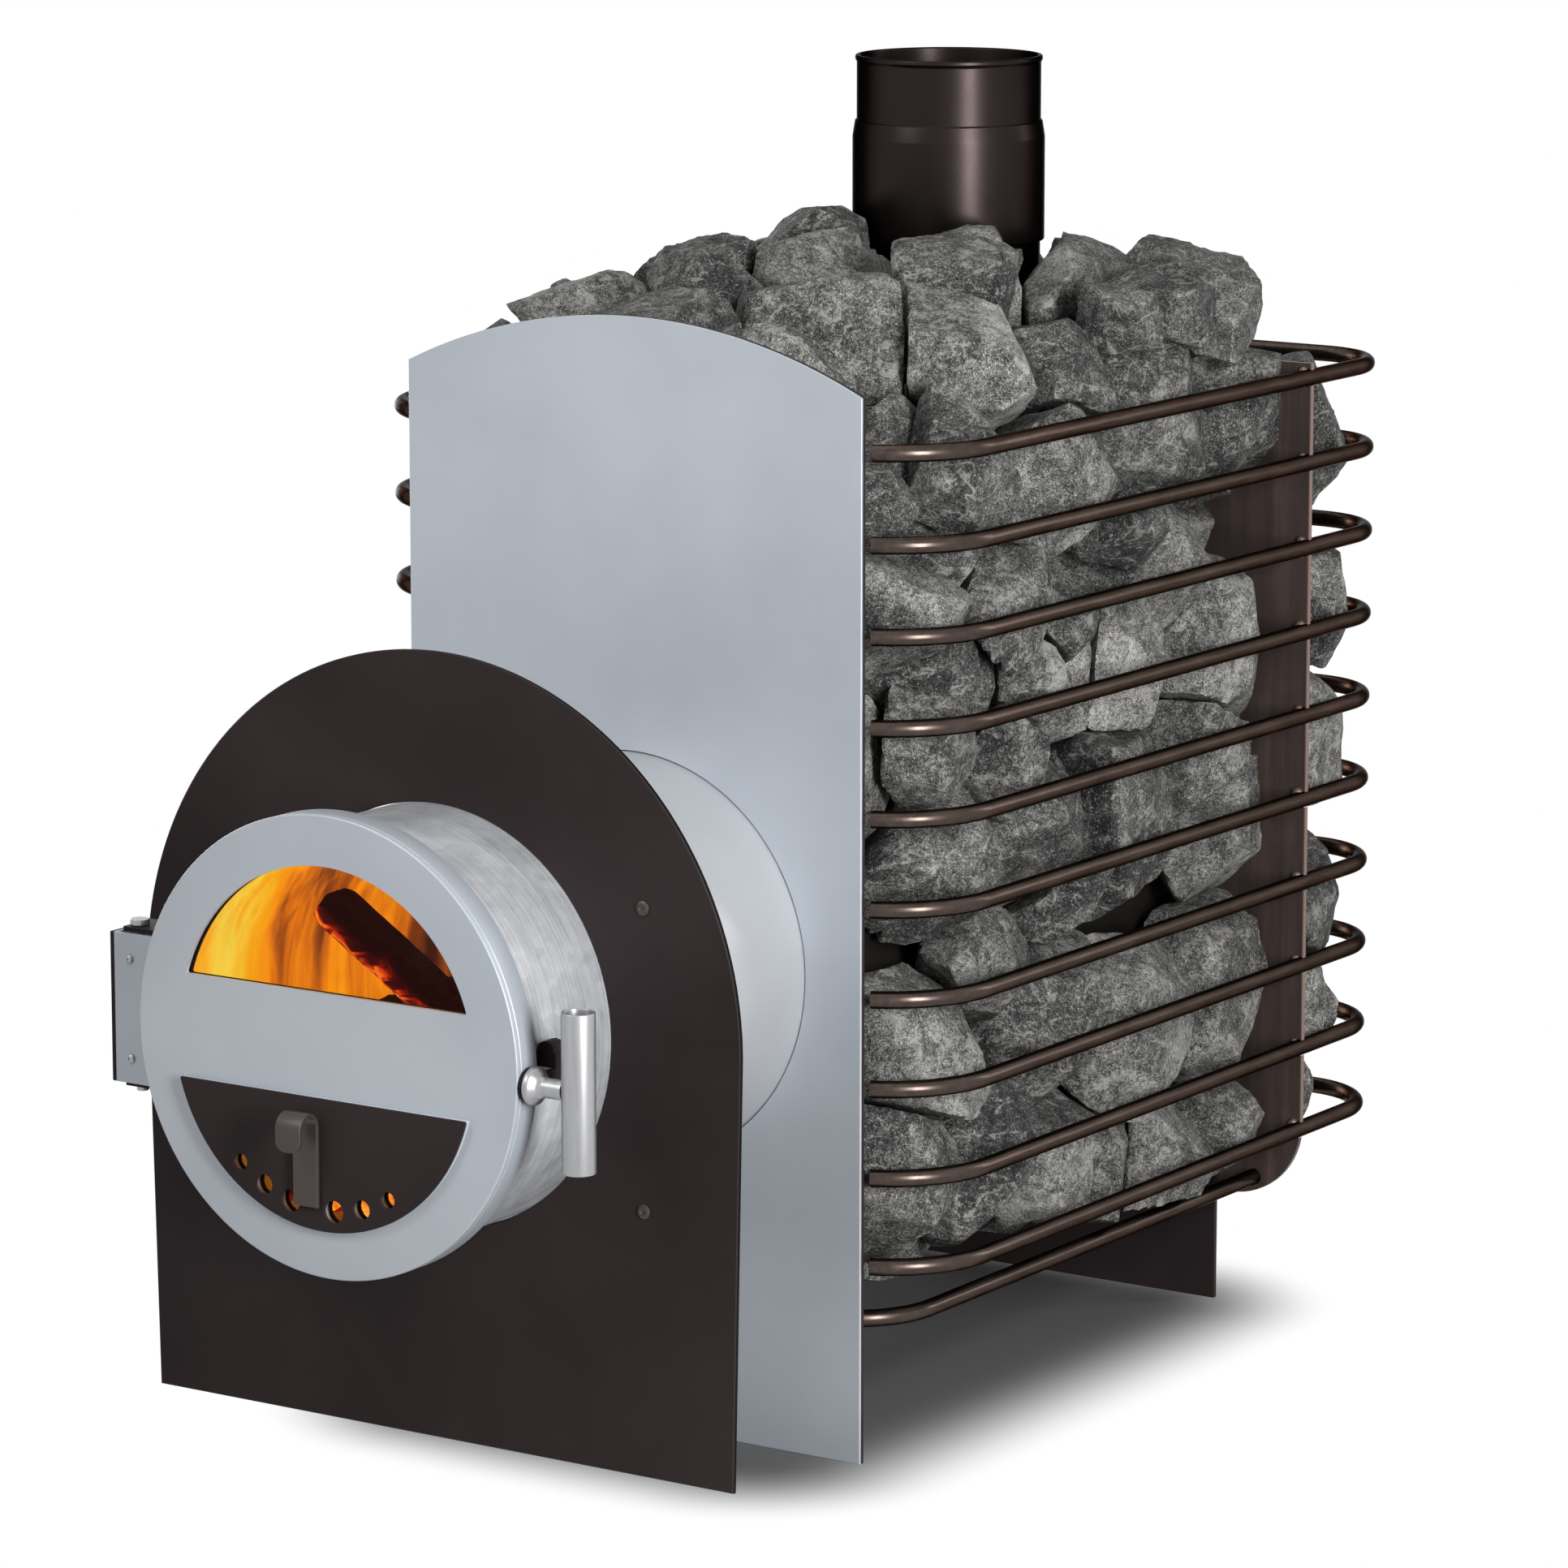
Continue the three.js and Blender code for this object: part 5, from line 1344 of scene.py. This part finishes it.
rng = random.Random(8)
coal_places = []
COAL_REACH = 123.0
for _ in range(230):
    y = rng.uniform(-312, -18)
    bed = (222.0 if y < -222 else 236.0) + rng.uniform(-6, 5)
    half = math.sqrt(COAL_REACH**2 - (bed - AXIS_Z) ** 2)
    coal_places.append((rng.uniform(-half, half), y, bed))
bm = bmesh.new()
bmesh.ops.create_icosphere(bm, subdivisions=2, radius=9.0)
for v in bm.verts:
    v.co *= 1 + 0.3 * noise.noise(v.co * 0.16 + Vector((3, 1, 2)))
embers = repeated("ember_bed", holder("coal", bm), coal_places, (0, 0, 0), coals, 0.35, 3.0, 11)
dress("ember_bed", embers, coals, "stove", (), 60)

# Fire


def shell(bm, rows, thick):
    """A thin closed skin from a grid of points, thickened along its normals."""
    count, width = len(rows), len(rows[0])
    sides = []
    for offset in (0.0, thick):
        grid = []
        for i in range(count):
            line = []
            for k in range(width):
                along = rows[min(i + 1, count - 1)][k] - rows[max(i - 1, 0)][k]
                across = rows[i][min(k + 1, width - 1)] - rows[i][max(k - 1, 0)]
                normal = along.cross(across).normalized()
                line.append(bm.verts.new(rows[i][k] + normal * offset))
            grid.append(line)
        sides.append(grid)
    low, high = sides
    for i in range(count - 1):
        for k in range(width - 1):
            bm.faces.new((low[i][k], low[i][k + 1], low[i + 1][k + 1], low[i + 1][k]))
            bm.faces.new((high[i][k], high[i + 1][k], high[i + 1][k + 1], high[i][k + 1]))
    rim = [(0, k) for k in range(width)] + [(i, width - 1) for i in range(1, count)]
    rim += [(count - 1, k) for k in range(width - 2, -1, -1)] + [(i, 0) for i in range(count - 2, 0, -1)]
    for (i, k), (m, n) in zip(rim, rim[1:] + rim[:1]):
        bm.faces.new((low[i][k], high[i][k], high[m][n], low[m][n]))


LINING_R = 133.0
bm = bmesh.new()
rows = []
for i in range(46):
    y = -316.0 + 300.0 * i / 45
    row = []
    for k in range(61):
        turn = math.radians(-20 + 220 * k / 60)
        r = LINING_R + 2.4 * noise.noise(Vector((y / 60, turn * 3, 1.0)))
        row.append(Vector((r * math.cos(turn), y, AXIS_Z + r * math.sin(turn))))
    rows.append(row)
shell(bm, rows, 1.2)
dress("flame_lining", to_mesh("flame_lining", bm), fire, "stove", (), 60)

bm = bmesh.new()
rows = []
for i in range(40):
    z = 236.0 + 220.0 * i / 39
    half = math.sqrt(max(1.0, (LINING_R - 5.0) ** 2 - (z - AXIS_Z) ** 2))
    row = []
    for k in range(41):
        x = half * (2 * k / 40 - 1)
        row.append(Vector((x, -14.0 + 7.0 * noise.noise(Vector((x / 34, z / 90, 4.0))), z)))
    rows.append(row)
shell(bm, rows, 1.2)
dress("flame_curtain", to_mesh("flame_curtain", bm), fire, "stove", (), 60)

# Logs


SPLIT_FACES = ((0.3, 0.8), (1.7, 0.78), (2.9, 0.86), (4.1, 0.76), (5.3, 0.9))


def log_skin(node, start, end, radius, hot, seed):
    """A split, charred log with a cracked skin; the side that faces the coals is the hottest."""
    start, end, hot = Vector(start), Vector(end), Vector(hot).normalized()
    along = (end - start).normalized()
    across = along.cross(Vector((0.31, 0.77, 0.12))).normalized()
    up = across.cross(along)
    rings, sides = 64, 56
    drift = Vector((seed, 2 * seed, 3 * seed))
    bm = bmesh.new()
    grid, heat = [], []
    for i in range(rings):
        t = i / (rings - 1)
        ends = min(1.0, 0.86 + 0.14 * min(t, 1 - t) / 0.025)
        line = []
        for k in range(sides):
            turn = 2 * math.pi * k / sides
            out = across * math.cos(turn) + up * math.sin(turn)
            flat = sum(max(0.0, math.cos(turn - a) / d) ** 16 for a, d in SPLIT_FACES) ** (-1 / 16)
            spot = start.lerp(end, t) / 46 + out * 0.8 + drift
            groove = noise.noise(Vector((math.cos(turn) * 4, math.sin(turn) * 4, t * 2.2 + seed)))
            check = abs(noise.noise(spot * 3.0))
            r = radius * ends * (min(flat, 1.0) * (0.97 + 0.05 * groove) - 0.05 * check)
            line.append(bm.verts.new(start.lerp(end, t) + out * r))
            heat.append(0.5 + 0.5 * out.dot(hot))
        grid.append(line)
    for first, second in zip(grid, grid[1:]):
        for k in range(sides):
            bm.faces.new((first[k - 1], first[k], second[k], second[k - 1]))
    for line, way in ((grid[0], -1), (grid[-1], 1)):
        middle = sum((v.co for v in line), Vector()) / sides
        centre = bm.verts.new(middle + along * way * 0.05 * radius)
        heat.append(0.3)
        for k in range(sides):
            bm.faces.new((line[k - 1], line[k], centre) if way > 0 else (line[k], line[k - 1], centre))
    bmesh.ops.recalc_face_normals(bm, faces=bm.faces)
    mesh = bpy.data.meshes.new(node + "_skin")
    bm.to_mesh(mesh)
    bm.free()
    mesh.transform(Matrix.Scale(MM, 4))
    layer = mesh.attributes.new("ember_side", "FLOAT", "POINT")
    layer.data.foreach_set("value", np.array(heat, dtype=np.float32))
    dress(node + "_skin", mesh, char, "stove", [node], 60)


for node, seed in (("log_left", 1.7), ("log_right", 4.1)):
    low, high = span(node)
    middle = (low + high) / 2
    log_skin(
        node,
        (middle.x, low.y + 1, middle.z),
        (middle.x, high.y - 1, middle.z),
        (high.z - low.z) / 2,
        (0.3, -0.4, -1.0),
        seed,
    )
low, high = span("log_top")
middle = (low + high) / 2
lean_r = (high.y - low.y) / 2
lean = math.atan2(high.z - low.z - 2 * lean_r, high.x - low.x - 2 * lean_r)
half = Vector((math.cos(lean), 0.0, -math.sin(lean))) * 110.0
log_skin("log_top", middle - half, middle + half, lean_r, (-0.75, -0.45, -0.55), 9.3)

# Air knob

knob_low, knob_high = span("air_knob")
STRIP = 3.0
KNOB_BEND = 9.0
knob_mid = (knob_low.x + knob_high.x) / 2
knob_half = (knob_high.x - knob_low.x) / 2
front_leg = knob_low.y + STRIP / 2
back_leg = front_leg + 2 * KNOB_BEND
bend_z = knob_high.z - STRIP / 2 - KNOB_BEND
route = [(front_leg, 266.0 + (bend_z - 266.0) * k / 16) for k in range(16)]
route += arc(KNOB_BEND, 180, 0, 20, (front_leg + KNOB_BEND, bend_z))
route += [(back_leg, bend_z + (knob_low.z - bend_z) * k / 12) for k in range(1, 13)]
bm = bmesh.new()
sections = []
travel = 0.0
for i, (y, z) in enumerate(route):
    ahead = Vector(route[min(i + 1, len(route) - 1)]) - Vector(route[max(i - 1, 0)])
    ahead.normalize()
    if i:
        travel += (Vector(route[i]) - Vector(route[i - 1])).length
    corner = 7.0
    trim = corner - math.sqrt(max(0.0, corner**2 - max(0.0, corner - travel) ** 2))
    wide = knob_half - trim
    ring = rounded(
        [(-wide, -STRIP / 2), (wide, -STRIP / 2), (wide, STRIP / 2), (-wide, STRIP / 2)], 0.7, 3
    )
    sections.append(
        [bm.verts.new((knob_mid + p.x, y - ahead.y * p.y, z + ahead.x * p.y)) for p in ring]
    )
for first, second in zip(sections, sections[1:]):
    for k in range(len(first)):
        bm.faces.new((first[k - 1], first[k], second[k], second[k - 1]))
bm.faces.new(sections[0])
bm.faces.new(sections[-1])
stalk_low = (knob_mid - 5.0, back_leg + STRIP / 2, knob_low.z + 8.0)
stalk_high = (knob_mid + 5.0, knob_high.y, knob_low.z + 14.0)
block(bm, stalk_low, stalk_high, 0.4)
# The knob takes the lighter copy of the brown paint: painted highlight.
dress("air_knob_skin", to_mesh("air_knob_skin", bm), rubbed_brown, "shutter", ["air_knob"], 40)

# Carried-over solids


def ribbed_frame():
    """Brown frame paint, with a painted highlight along its side edges."""
    finish = Finish("frame_paint")
    x, y, z = finish.axes()
    brushed = finish.cloud(70.0, 4.0, 0.65, at=finish.stretched((1.0, 1.0, 0.06)))
    patch = finish.cloud(16.0, 4.0, 0.6)
    tone = finish.ramp(
        brushed * 0.6 + patch * 0.4,
        (0.3, tint(62, 53, 50)[:3]),
        (0.52, tint(88, 75, 71)[:3]),
        (0.72, tint(116, 99, 93)[:3]),
    )
    # A lighter copper colour on the rib's side edges: painted highlight.
    edge = finish.step((x * x) ** 0.5, 0.2346, 0.2354)
    tone = finish.mix(edge, tone, tint(128, 105, 97))
    return finish.surface(
        Base_Color=tone, Roughness=0.42 + 0.1 * patch, Metallic=0.5, Normal=finish.bump(brushed, 0.1, 0.0005)
    )


frame_paint = ribbed_frame()

carried = (
    (iron_and_gap_shade, ["firebox_shell", "firebox_back", "grate", "air_shutter"]),
    (frame_paint, ["rear_rib"]),
    (brown, ["rear_foot", "latch_tongue", "latch_keeper", "hinge_side_plate", "hinge_ear_low", "hinge_ear_high"]),
    (silver, ["hinge_leaf"]),
    (bright, ["hinge_pin", "shutter_pivot"]),
    (glass, ["door_glass"]),
    (rope, ["door_gasket"]),
)
for finish, names in carried:
    for name in names:
        thing = NODES[name]
        thing.data.materials.clear()
        thing.data.materials.append(finish.material)
        weld = thing.modifiers.new("weld", "WELD")
        weld.merge_threshold = 0.00001
        ease = thing.modifiers.new("ease", "BEVEL")
        ease.width = 0.0004
        ease.segments = 2
        ease.limit_method = "ANGLE"
        ease.angle_limit = math.radians(40)
